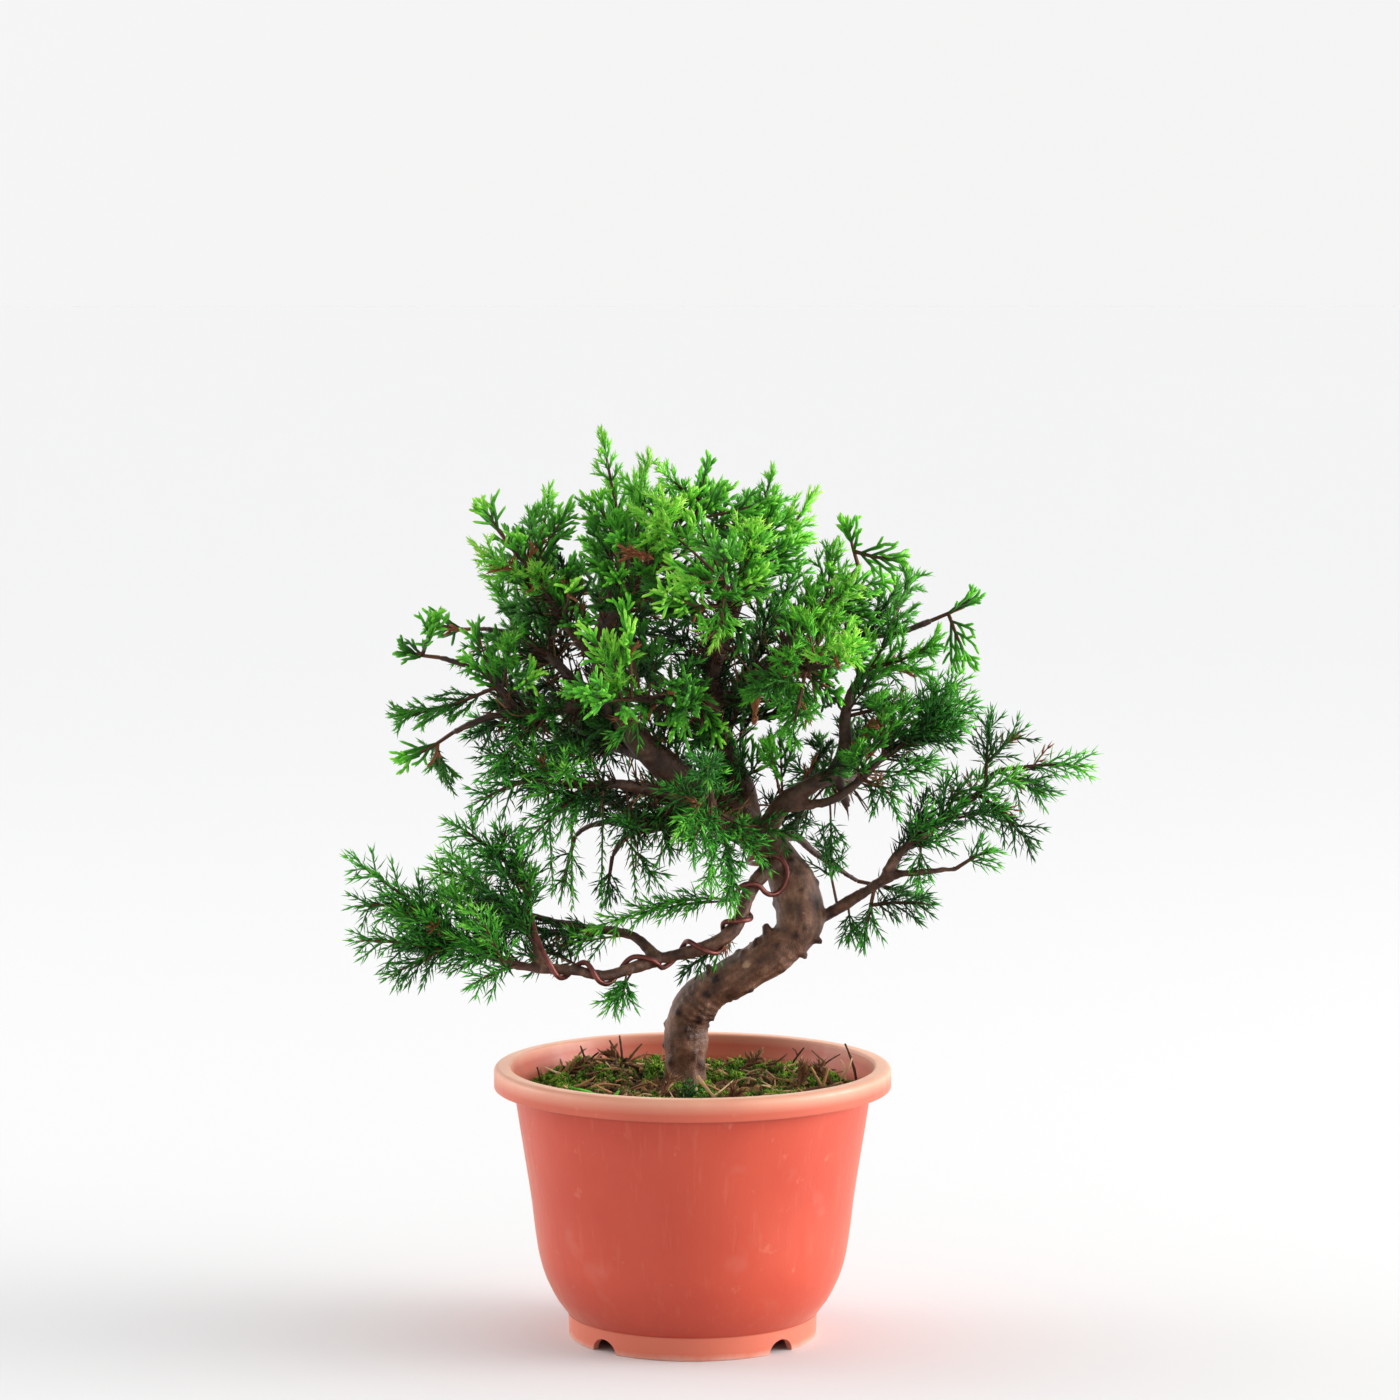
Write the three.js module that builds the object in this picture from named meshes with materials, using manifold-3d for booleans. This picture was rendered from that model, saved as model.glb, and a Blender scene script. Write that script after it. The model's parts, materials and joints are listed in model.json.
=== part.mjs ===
// A small itoigawa juniper trained as a bonsai, in the round plastic pot that it grows in.
// Millimetres, +Z up. Everything is laid out from the pot's axis with the foot on z = 0, seen
// from the front along +Y, and the finished group is then moved so that its origin lies on the
// ground under the middle of the whole plant.

import * as THREE from 'three';
import { mergeVertices } from 'three/addons/utils/BufferGeometryUtils.js';
import Module from 'manifold-3d';

const wasm = await Module();
wasm.setup();

// Pot: a 150 mm nursery pot with a turned-down rim and a notched foot ring
const RIM_RADIUS = 75;
const RIM_TOP = 103;
const RIM_BAND = 8.2;
const RIM_ROUNDING = 1.6;
const LIP_WIDTH = 6.5;
const LIP_ROUNDING = 0.8;
const FLARE_WIDTH = 2.4;
const FLARE_HEIGHT = 6.5;
const WALL = 1.5;
const FOOT_RADIUS = 46.9;
const FOOT_HEIGHT = 9;
const FOOT_WALL = 2.8;
const FLOOR_TOP = 9.2;
const FLOOR_UNDERSIDE = 6.8;
const FLOOR_RADIUS = 45.4;
const NOTCH_WIDTH = 12;
const NOTCH_HEIGHT = 5.2;
const DRAIN_RADIUS = 5;
const DRAIN_SIDES = 6;
const DRAIN_CIRCLE = 28;
const POT_SIDES = 32;

// The outside of the pot's wall from the foot to the rim, as [radius, height]
const WALL_LINE = [
  [47.4, FOOT_HEIGHT],
  [53.6, 18],
  [58.0, 30],
  [61.4, 54],
  [67.3, 93],
];

// Filling and planting
const SOIL_TOP = 91;
const MOSS_RADIUS = 64;
const MOSS_THICKNESS = 2.6;
const MOSS_EDGE = 0.8;
const MOSS_SHOULDER = 12;
const MOUND_HEIGHT = 1.1;
const MOUND_WIDTHS = [6.1, 5.3, 9.7];
const TRUNK_BOTTOM = 72;
const CLEARANCE = 0.3;
const HOLE_CLEARANCE = 0.6;
const HOLE_SIDES = 12;

// Training wire
const WIRE_RADIUS = 1;
const WIRE_SIDES = 5;
const WIRE_STANDOFF = 1;
const WIRE_STEPS_A_TURN = 9;

// The wire starts behind the trunk, crosses over the low left branch's root and back under
// it, coils out along the branch and ends in front of the riser. A stretch of coil says on
// which limb it lies, where it starts and ends along it, the turn that it starts at (0 is
// behind the limb), and how many turns it makes.
const WIRE_HOOK = [[39.4, 13, 176.6], [33, 14.8, 177], [25.6, 13.8, 177.2],
  [20.8, 8.2, 178.2], [21.2, 0.8, 181.2], [27.8, -4.7, 183.1], [33.3, -6.1, 181.9],
  [35.9, -6.9, 177], [34.6, -8, 171.8], [31.4, -10.2, 168.9], [27.8, -14.4, 169.8]];
const WIRE_STRETCHES = [
  ['low_left', 0.3, 0.47, -0.42, 0.92],
  ['low_left', 0.5, 0.97, 0.62, 1.78],
  ['low_left_front', 0.03, 0.28, 2.52, 0.96],
  ['low_left_front', 0.31, 0.45, 3.6, 0.8],
];
const WIRE_END = [[-53.4, -31.8, 147.5], [-56, -30, 152], [-58.4, -27, 157.5],
  [-60, -22.5, 163]];

// The trunk's middle line from the soil to the leader's end, as [x, y, z, radius]
const TRUNK = [
  [-3, 8, TRUNK_BOTTOM, 9.6],
  [-3, 8, 91, 8.7],
  [-2.5, 8, 107, 7.9],
  [-1.8, 7, 119, 7.6],
  [5, 5, 129, 8.2],
  [21, 2, 139, 7.4],
  [35, 0, 149, 8.0],
  [40, 0, 156, 9.0],
  [40, 1, 164, 9.2],
  [37, 3, 173, 8.0],
  [31, 6, 183, 7.0],
  [20, 10, 192, 6.8],
  [7, 12, 201, 6.4],
  [-5, 10, 211, 5.8],
  [-16, 6, 221, 5.1],
  [-26, 2, 233, 4.3],
  [-33, 0, 248, 3.5],
  [-35, 2, 264, 2.8],
  [-31, 4, 278, 2.1],
  [-24, 5, 293, 1.4],
];

// Limbs: radius at the root, radius at the tip, and the middle line's points
const LIMBS = {
  leader2: [4.5, 1.3, [[21, 12, 192], [20, 20, 205], [13, 18, 220], [7, 12, 238],
    [9, 8, 256], [15, 6, 271], [19, 6, 284], [22, 5, 297]]],
  right: [4.2, 1.3, [[26, 8, 188], [34, 0, 202], [47, -5, 211], [53, -6, 215],
    [57, -6, 225], [57, -4, 235], [60, 0, 245], [67, 4, 253]]],
  right_twig: [2.0, 1.0, [[35, -1, 201], [51, -8, 204], [61, -11, 211], [69, -12, 219],
    [77, -12, 225], [84, -10, 229]]],
  right_up: [2.8, 1.1, [[8, 12, 240], [20, 5, 244], [32, 0, 258], [38, -2, 266],
    [47, -4, 275], [55, -5, 283], [62, -5, 291]]],
  right_mid: [2.2, 1.0, [[24, 4, 248], [38, 10, 252], [49, 14, 256], [61, 16, 262],
    [69, 16, 264], [80, 15, 266], [90, 14, 270]]],
  left: [2.6, 1.0, [[-31, 0, 237], [-36, -1, 240], [-51, -4, 238], [-59, -6, 237],
    [-68, -8, 237], [-78, -9, 235], [-89, -9, 230]]],
  left_fingers: [1.5, 0.9, [[-64, -7, 237], [-69, -9, 242], [-72, -10, 247],
    [-76, -10, 252], [-84, -10, 255], [-94, -10, 258]]],
  left_up: [2.4, 1.0, [[-32, 0, 241], [-42, 6, 246], [-48, 10, 251], [-55, 14, 257],
    [-61, 18, 260], [-69, 22, 264], [-78, 24, 266]]],
  low_crown: [2.6, 1.0, [[-5, 9, 202], [-11, 6, 205], [-20, 0, 208], [-28, -5, 210],
    [-39, -9, 210], [-49, -12, 211], [-60, -14, 213]]],
  low_twig: [1.8, 0.9, [[3, 12, 199], [-5, 8, 194], [-14, 4, 192], [-24, -2, 191],
    [-27, -4, 188], [-30, -6, 183]]],
  low_back_twig: [1.7, 0.9, [[-1, 14, 202], [-15, 20, 193], [-27, 24, 193],
    [-40, 28, 190], [-45, 30, 186]]],
  front_low: [2.8, 1.0, [[19, 8, 193], [15, -6, 196], [10, -20, 200], [7, -36, 208],
    [6, -48, 214]]],
  front_mid: [2.4, 1.0, [[7, 12, 238], [3, -4, 242], [-5, -20, 244], [-14, -36, 245],
    [-22, -48, 246]]],
  front_up: [2.2, 1.0, [[9, 8, 256], [9, -8, 266], [11, -24, 276], [12, -38, 285],
    [12, -50, 291]]],
  front_right: [2.2, 1.0, [[32, 0, 258], [36, -14, 256], [40, -28, 256], [45, -42, 257],
    [50, -52, 259]]],
  back_low: [2.8, 1.0, [[10, 12, 200], [7, 28, 198], [3, 44, 198], [-3, 58, 200],
    [-10, 68, 203]]],
  back_mid: [2.6, 1.0, [[11, 17, 226], [14, 32, 232], [19, 46, 239], [23, 58, 247],
    [26, 68, 254]]],
  back_right: [2.4, 1.0, [[48, -5, 212], [55, 12, 209], [62, 28, 209], [70, 42, 212],
    [76, 52, 218]]],
  back_left: [2.6, 1.0, [[-16, 4, 220], [-33, 18, 223], [-41, 34, 226], [-49, 48, 230],
    [-55, 58, 236]]],
  back_up: [2.0, 0.9, [[-34, 2, 253], [-34, 18, 259], [-29, 34, 266], [-24, 46, 274],
    [-20, 54, 283]]],
  left_top: [2.0, 0.9, [[-35, 2, 256], [-43, -4, 264], [-49, -8, 274], [-56, -10, 284],
    [-63, -10, 294], [-68, -10, 300]]],
  crown_top: [1.8, 0.9, [[-35, 3, 264], [-29, -2, 274], [-22, -8, 285], [-14, -12, 295],
    [-6, -14, 304], [1, -14, 310]]],
  behind_right: [1.8, 0.9, [[32, 8, 189], [40, 16, 187], [46, 22, 181], [57, 26, 173],
    [63, 28, 169]]],
  low_left: [3.4, 2.4, [[33, 2, 179], [27, -6, 177], [21, -14, 170], [18, -18, 162],
    [13, -20, 155], [3, -20, 150], [-8, -18, 147], [-14, -18, 146]]],
  low_left_front: [2.3, 1.2, [[-14, -18, 146], [-20, -22, 144], [-32, -26, 141],
    [-42, -28, 143], [-56, -28, 144], [-66, -26, 145], [-76, -22, 148], [-87, -18, 153],
    [-95, -15, 158]]],
  low_left_back: [2.0, 1.1, [[-13, -18, 146], [-21, -12, 153], [-29, -8, 155],
    [-37, -4, 155], [-45, 0, 156], [-53, 4, 157], [-64, 6, 160], [-74, 6, 165]]],
  low_left_riser: [1.6, 1.0, [[-55, -28, 144], [-58, -24, 151], [-61, -18, 162],
    [-62, -12, 170], [-66, -10, 178]]],
  low_right: [2.4, 1.8, [[40, 1, 158], [49, 2, 159], [61, -4, 167], [71, -8, 174],
    [73, -10, 178]]],
  low_right_up: [1.8, 1.0, [[73, -10, 177], [76, -10, 183], [80, -10, 187],
    [90, -10, 194], [99, -8, 201], [106, -6, 206], [113, -4, 214], [121, -3, 216]]],
  low_right_low: [1.5, 0.9, [[71, -8, 174], [77, -12, 177], [83, -16, 178],
    [90, -18, 179], [98, -19, 180]]],
};

// Stubs of cut shoots on the trunk: root inside the wood, then the blunt end
const STUBS = [
  [[29, 0, 153], [26.5, -5, 159.5]],
  [[22, 1, 143], [21, -4, 150.5]],
  [[8, 4, 134], [5.5, -1, 142]],
  [[39, 0, 153], [50, -5.5, 150]],
  [[36, -1, 150], [44, -4.5, 143.5]],
  [[29, 0, 145], [35.5, -4, 138]],
  [[18, 2, 138], [23.5, -3, 130.5]],
  [[53, -6, 216], [59, -3, 199]],
];
const STUB_RADIUS = 1.3;

// Leafy branches: limb, place along it, kind of foliage, and the tips that its stems reach
const LEAFY = [
  ['left_fingers', 1.0, 'scale', [[-109, -14, 262], [-95, -22, 276]]],
  ['left_fingers', 0.35, 'scale', [[-111, -20, 237]]],
  ['left', 1.0, 'scale', [[-110, -14, 219], [-95, 6, 213]]],
  ['left', 0.42, 'needle', [[-76, -30, 214]]],
  ['left_up', 1.0, 'scale', [[-101, 34, 268]]],
  ['left_up', 0.38, 'scale', [[-62, 44, 284]]],
  ['low_crown', 1.0, 'needle', [[-83, -18, 203]]],
  ['low_crown', 0.62, 'needle', [[-63, -40, 190]]],
  ['left_top', 1.0, 'scale', [[-79, -10, 317]]],
  ['left_top', 0.72, 'scale', [[-78, -34, 300]]],
  ['left_top', 0.8, 'scale', [[-53, 14, 318]]],
  ['trunk', 1.0, 'scale', [[-34, 4, 342], [-16, 22, 333]]],
  ['crown_top', 1.0, 'scale', [[6, -12, 334], [-12, -26, 329]]],
  ['crown_top', 0.65, 'scale', [[-10, -56, 319]]],
  ['leader2', 1.0, 'scale', [[30, 6, 328]]],
  ['leader2', 0.86, 'scale', [[46, 24, 318]]],
  ['leader2', 0.78, 'scale', [[22, -46, 311]]],
  ['right_up', 1.0, 'scale', [[57, -10, 310], [79, -14, 295]]],
  ['right_up', 0.62, 'scale', [[58, -52, 290]]],
  ['right_mid', 1.0, 'scale', [[108, 14, 280], [105, 6, 253]]],
  ['right_mid', 0.75, 'scale', [[84, 40, 287]]],
  ['right', 1.0, 'scale', [[91, -24, 266]]],
  ['right', 0.74, 'needle', [[101, 14, 240]]],
  ['right_twig', 1.0, 'needle', [[98, -22, 233]]],
  ['right_twig', 0.55, 'needle', [[76, -34, 207]]],
  ['front_up', 1.0, 'scale', [[11, -84, 305]]],
  ['front_up', 0.62, 'scale', [[-12, -66, 287]]],
  ['front_mid', 1.0, 'scale', [[-38, -84, 253], [-29, -60, 269]]],
  ['front_mid', 0.42, 'scale', [[-1, -72, 252]]],
  ['front_low', 1.0, 'needle', [[5, -88, 227]]],
  ['front_low', 0.72, 'needle', [[-1, -62, 193]]],
  ['front_low', 0.4, 'needle', [[25, -46, 186]]],
  ['front_right', 1.0, 'scale', [[56, -84, 271]]],
  ['front_right', 0.62, 'scale', [[35, -66, 233]]],
  ['back_low', 1.0, 'needle', [[-17, 96, 192], [12, 84, 178]]],
  ['back_mid', 1.0, 'scale', [[31, 98, 264]]],
  ['back_mid', 0.62, 'scale', [[3, 92, 256]]],
  ['back_right', 1.0, 'needle', [[93, 72, 223], [66, 84, 237]]],
  ['back_left', 1.0, 'scale', [[-72, 78, 238]]],
  ['back_left', 0.6, 'needle', [[-54, 76, 210]]],
  ['back_up', 1.0, 'scale', [[-13, 70, 305]]],
  ['back_up', 0.6, 'scale', [[-44, 76, 289]]],
  ['low_twig', 1.0, 'needle', [[-32, -10, 168]]],
  ['low_back_twig', 1.0, 'needle', [[-51, 34, 161]]],
  ['behind_right', 1.0, 'needle', [[92, 30, 160]]],
  ['low_left_front', 1.0, 'needle', [[-130, -8, 183], [-128, -16, 165]]],
  ['low_left_front', 0.86, 'needle', [[-114, -30, 140], [-126, -34, 155]]],
  ['low_left_front', 0.6, 'needle', [[-81, -50, 141], [-81, -44, 170]]],
  ['low_left_back', 1.0, 'needle', [[-97, 30, 181], [-101, 10, 176]]],
  ['low_left_riser', 1.0, 'needle', [[-92, -14, 198], [-69, -24, 196]]],
  ['low_right_up', 1.0, 'needle', [[150, -2, 216]]],
  ['low_right_up', 0.72, 'needle', [[127, -24, 188]]],
  ['low_right_up', 0.8, 'needle', [[112, 10, 236], [126, 4, 231]]],
  ['low_right_low', 1.0, 'needle', [[111, -26, 188]]],
  ['low_right', 0.8, 'needle', [[64, -8, 149], [90, -16, 166]]],
];

// How each kind of foliage branches: the distance between whorls, how far shoots lean from
// their stem, in degrees, and their lengths and radii. The sweep bends the stems down or up.
const KINDS = {
  scale: { spacing: 10, spread: 50, upright: 26, sideLength: [20, 12], sideRadius: 0.8,
    fingerLength: 10, fingerRadius: 0.7, sweep: -0.1 },
  needle: { spacing: 10, spread: 56, upright: 30, sideLength: [17, 10], sideRadius: 0.7,
    fingerLength: 7.5, fingerRadius: 0.6, sweep: 0.08 },
};
const SIDEWAYS = 0.22;
const STEM_RADIUS = 1.1;
const WHORL_HEIGHT = 2.6;
const WHORL_TWIST = -0.9;
const ROOT_SWELL = 1.25;
const TWIG_RADIUS = 0.95;
const TWIG_SHARE = 0.15;
const TWIG_LENGTH = 5.5;
const TWIG_GAP = 0.5;
const FIRST_WHORL = 0.75;
const PAST_LAST_WHORL = 0.7;
const MOST_WHORLS = 5;
const FORK_SHARE = 0.4;
const SHORTER = 0.75;
const SEED_STEP = 7919;
const TRUNK_STEPS = 18;
const TRUNK_SIDES = 8;
const SLIM_LIMB = 2.5;
const LIMB_STEP = 12;
const WIRED_LIMB_STEP = 8;

const UP = new THREE.Vector3(0, 0, 1);
const vector = (point) => new THREE.Vector3(...point.slice(0, 3));
const radians = THREE.MathUtils.degToRad;
const mix = THREE.MathUtils.lerp;

// A seeded generator, so that every build gives the same plant
function randomFrom(seed) {
  const MODULUS = 2147483647;
  let state = seed;
  return () => {
    state = (state * 16807) % MODULUS;
    return state / MODULUS;
  };
}

// A draw of about 1, give or take a share
const about = (share, random) => 1 + share * (2 * random() - 1);

// Solids

function solidOf(geometry) {
  const bare = new THREE.BufferGeometry();
  bare.setAttribute('position', geometry.getAttribute('position'));
  bare.setIndex(geometry.index);
  const merged = mergeVertices(bare, 1e-4);
  const triangles = [];
  for (let i = 0; i < merged.index.count; i += 3) {
    const [a, b, c] = merged.index.array.slice(i, i + 3);
    if (a !== b && b !== c && a !== c) triangles.push(a, b, c);
  }
  const mesh = new wasm.Mesh({
    numProp: 3,
    vertProperties: new Float32Array(merged.attributes.position.array),
    triVerts: new Uint32Array(triangles),
  });
  return new wasm.Manifold(mesh);
}

const joined = (solids) => wasm.Manifold.union(solids);

function geometryOf(solid) {
  const { vertProperties, triVerts } = solid.getMesh();
  const geometry = new THREE.BufferGeometry();
  geometry.setAttribute('position', new THREE.BufferAttribute(vertProperties, 3));
  geometry.setIndex(new THREE.BufferAttribute(triVerts, 1));
  return geometry;
}

function meshOf(name, geometry, material) {
  geometry.computeVertexNormals();
  const mesh = new THREE.Mesh(geometry, material);
  mesh.name = name;
  return mesh;
}

// A closed rod of given sides through points, with a radius at each one. A last radius of 0
// brings it to a point.
function rod(points, radii, sides) {
  const last = points.length - 1;
  const pointed = radii[last] === 0;
  const positions = [];
  const index = [];
  let across = null;
  points.forEach((point, i) => {
    const along = points[Math.min(i + 1, last)].clone().sub(points[Math.max(i - 1, 0)]);
    along.normalize();
    if (!across) {
      const helper = Math.abs(along.z) < 0.9 ? UP : new THREE.Vector3(1, 0, 0);
      across = new THREE.Vector3().crossVectors(helper, along);
    }
    across.addScaledVector(along, -across.dot(along)).normalize();
    const third = new THREE.Vector3().crossVectors(along, across);
    if (pointed && i === last) {
      positions.push(point.x, point.y, point.z);
      return;
    }
    for (let k = 0; k < sides; k += 1) {
      const angle = (2 * Math.PI * k) / sides;
      const at = point.clone();
      at.addScaledVector(across, radii[i] * Math.cos(angle));
      at.addScaledVector(third, radii[i] * Math.sin(angle));
      positions.push(at.x, at.y, at.z);
    }
  });
  const next = (k) => (k + 1) % sides;
  const bands = pointed ? last - 1 : last;
  for (let i = 0; i < bands; i += 1) {
    for (let k = 0; k < sides; k += 1) {
      const a = i * sides + k;
      const b = i * sides + next(k);
      index.push(a, b, b + sides, a, b + sides, a + sides);
    }
  }
  for (let k = 1; k < sides - 1; k += 1) index.push(0, k + 1, k);
  const end = bands * sides;
  if (pointed) {
    for (let k = 0; k < sides; k += 1) index.push(end + k, end + next(k), end + sides);
  } else {
    for (let k = 1; k < sides - 1; k += 1) index.push(end, end + k, end + k + 1);
  }
  const geometry = new THREE.BufferGeometry();
  geometry.setAttribute('position', new THREE.Float32BufferAttribute(positions, 3));
  geometry.setIndex(index);
  return geometry;
}

// A closed profile of [radius, height] points turned about the Z axis
function turned(profile) {
  const points = profile.map(([radius, height]) => new THREE.Vector2(radius, height));
  return solidOf(new THREE.LatheGeometry(points, POT_SIDES).rotateX(Math.PI / 2));
}

// Keeping the pieces apart: every placed stem, shoot and wire is also kept as straight rods

const placedRods = [];

function place(owner, stem, points, radii) {
  for (let i = 1; i < points.length; i += 1) {
    const line = new THREE.Line3(points[i - 1], points[i]);
    placedRods.push({ owner, stem, line, radius: Math.max(radii[i - 1], radii[i]) });
  }
}

function isClear(owner, ownStems, from, to, radius) {
  const line = new THREE.Line3(from, to);
  const here = new THREE.Vector3();
  const there = new THREE.Vector3();
  return placedRods.every((other) => {
    if (other.owner === owner && ownStems.includes(other.stem)) return true;
    const gap = Math.sqrt(line.distanceSqToLine3(other.line, here, there));
    return gap > radius + other.radius + CLEARANCE;
  });
}

// The wood: trunk, limbs, stubs and the bare part of each leafy branch, grown as one piece

const curveThrough = (points) =>
  new THREE.CatmullRomCurve3(points.map(vector), false, 'catmullrom', 0.5);

const limbCurves = { trunk: curveThrough(TRUNK) };
for (const [name, [, , points]] of Object.entries(LIMBS)) {
  limbCurves[name] = curveThrough(points);
}

// A stem leaves its limb and bends to its tip; the sweep lifts or lowers its middle
function stemCurve(from, tip, sweep) {
  const middle = from.clone().lerp(tip, 0.5);
  middle.addScaledVector(UP, sweep * from.distanceTo(tip));
  return new THREE.QuadraticBezierCurve3(from, middle, tip);
}

function plannedBranch([limb, fraction, kindName, tips], order) {
  const kind = KINDS[kindName];
  const root = limbCurves[limb].getPointAt(fraction);
  const curve = stemCurve(root, vector(tips[0]), kind.sweep);
  const twigShare = Math.max(TWIG_SHARE, TWIG_LENGTH / curve.getLength());
  return {
    name: `leafy_branch_${String(order + 1).padStart(2, '0')}`,
    limb, fraction, kind, curve, twigShare,
    tips: tips.map(vector),
    leafStart: twigShare + TWIG_GAP / curve.getLength(),
    random: randomFrom(SEED_STEP * (order + 1)),
  };
}

const branches = LEAFY.map(plannedBranch);

// The radius of the trunk or a limb at a share of its length
function radiusAlong(limb, share) {
  if (limb !== 'trunk') return mix(LIMBS[limb][0], LIMBS[limb][1], share);
  const along = limbCurves.trunk.getUtoTmapping(share) * (TRUNK.length - 1);
  const before = Math.min(Math.floor(along), TRUNK.length - 2);
  return mix(TRUNK[before][3], TRUNK[before + 1][3], along - before);
}

// A trunk or limb, carried on as the twig of the leafy branch at its end if it has one
function limbSolid(limb, steps, sides) {
  const points = limbCurves[limb].getSpacedPoints(steps);
  const radii = points.map((_, i) => radiusAlong(limb, i / steps));
  const last = branches.find((branch) => branch.limb === limb && branch.fraction === 1);
  if (last) {
    points.push(last.curve.getPoint(last.twigShare));
    radii.push(TWIG_RADIUS);
  }
  place('tree_wood', limb, points, radii);
  return solidOf(rod(points, radii, sides));
}

function limbSolids() {
  const limbs = Object.entries(LIMBS).map(([name, [rootRadius]]) => {
    const wired = WIRE_STRETCHES.some(([limb]) => limb === name);
    const step = wired ? WIRED_LIMB_STEP : LIMB_STEP;
    const steps = Math.ceil(limbCurves[name].getLength() / step);
    return limbSolid(name, steps, rootRadius < SLIM_LIMB ? 4 : 5);
  });
  return [limbSolid('trunk', TRUNK_STEPS, TRUNK_SIDES), ...limbs];
}

function stubSolid([root, end]) {
  const points = [vector(root), vector(end)];
  return solidOf(rod(points, [STUB_RADIUS * ROOT_SWELL, STUB_RADIUS], 4));
}

function twigSolid({ curve, twigShare }) {
  const points = [curve.getPoint(0), curve.getPoint(twigShare)];
  const radii = [TWIG_RADIUS * ROOT_SWELL, TWIG_RADIUS];
  place('tree_wood', 'twigs', points, radii);
  return solidOf(rod(points, radii, 3));
}

// The foliage: each leafy branch is one green body. It starts as a small triangle in front of
// the twig's cut end, from which the stem is raised. At each whorl the stem's faces are raised
// into shoots, and their faces into fingers, so all of it is one skin.

// Moves a triangular face out through stations, the last of which is a point. Returns the
// faces of each band between two stations, by side.
function raise(body, face, stations) {
  let ring = body.faces[face];
  const bands = [];
  for (const { at, along, radius, twist = 0 } of stations) {
    if (radius === 0) {
      const tip = body.points.push(at) - 1;
      body.faces[face] = [ring[0], ring[1], tip];
      body.faces.push([ring[1], ring[2], tip], [ring[2], ring[0], tip]);
      return bands;
    }
    const centre = centreOf(body, ring);
    const spoke = body.points[ring[0]].clone().sub(centre);
    spoke.addScaledVector(along, -spoke.dot(along)).setLength(radius);
    spoke.applyAxisAngle(along, twist);
    const outer = corners(spoke, along, at).map((corner) => body.points.push(corner) - 1);
    bands.push([0, 1, 2].map((k) => {
      const [a, b] = [ring[k], ring[(k + 1) % 3]];
      const [c, d] = [outer[k], outer[(k + 1) % 3]];
      return body.faces.push([a, b, d], [a, d, c]) - 2;
    }));
    ring = outer;
  }
  return bands;
}

const corners = (spoke, along, centre) =>
  [0, 1, 2].map((k) => spoke.clone().applyAxisAngle(along, (2 * Math.PI * k) / 3).add(centre));

const centreOf = (body, [a, b, c]) =>
  body.points[a].clone().add(body.points[b]).add(body.points[c]).divideScalar(3);

function normalOf(body, [a, b, c]) {
  const [first, second, third] = [a, b, c].map((corner) => body.points[corner]);
  const one = second.clone().sub(first);
  return one.cross(third.clone().sub(first)).normalize();
}

// Stations of a stem along a curve: a pair round each whorl, then the tip. Each whorl is
// twisted from the one below, so the shoots stand all round.
function stemStations(curve, start, whorls) {
  const half = WHORL_HEIGHT / 2 / curve.getLength();
  const stations = [];
  for (let w = 0; w < whorls; w += 1) {
    const middle = mix(start, 1, (w + FIRST_WHORL) / (whorls + PAST_LAST_WHORL));
    [middle - half, middle + half].forEach((share, upper) => {
      stations.push({
        at: curve.getPoint(share),
        along: curve.getTangent(share),
        radius: mix(STEM_RADIUS, STEM_RADIUS * 0.6, share),
        twist: upper ? 0 : WHORL_TWIST,
      });
    });
  }
  stations.push({ at: curve.getPoint(1), along: curve.getTangent(1), radius: 0 });
  return stations;
}

function addStem(body, branch, face, curve, start) {
  const length = curve.getLength() * (1 - start);
  const whorls = THREE.MathUtils.clamp(Math.round(length / branch.kind.spacing), 2, MOST_WHORLS);
  const stations = stemStations(curve, start, whorls);
  const id = body.stems.length;
  const points = [curve.getPoint(start), ...stations.map(({ at }) => at)];
  place(body.name, id, points, points.map(() => STEM_RADIUS));
  body.stems.push({ id, whorls, stations, bands: raise(body, face, stations) });
}

function bareBody(branch) {
  const { name, curve, leafStart, random, tips, kind } = branch;
  const body = { name, points: [], faces: [], stems: [] };
  const along = curve.getTangent(leafStart);
  const spoke = new THREE.Vector3().crossVectors(along, UP).setLength(STEM_RADIUS);
  spoke.applyAxisAngle(along, 2 * Math.PI * random());
  body.points.push(...corners(spoke, along, curve.getPoint(leafStart)));
  body.faces.push([0, 2, 1], [0, 1, 2]);
  addStem(body, branch, 1, curve, leafStart);
  for (const tip of tips.slice(1)) {
    const facing = (face) => {
      const centre = centreOf(body, body.faces[face]);
      return normalOf(body, body.faces[face]).dot(tip.clone().sub(centre));
    };
    const [fork] = [...body.stems[0].bands[0]].sort((a, b) => facing(b) - facing(a));
    const root = centreOf(body, body.faces[fork]);
    addStem(body, branch, fork, stemCurve(root, tip, kind.sweep), 0);
  }
  return body;
}

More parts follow.
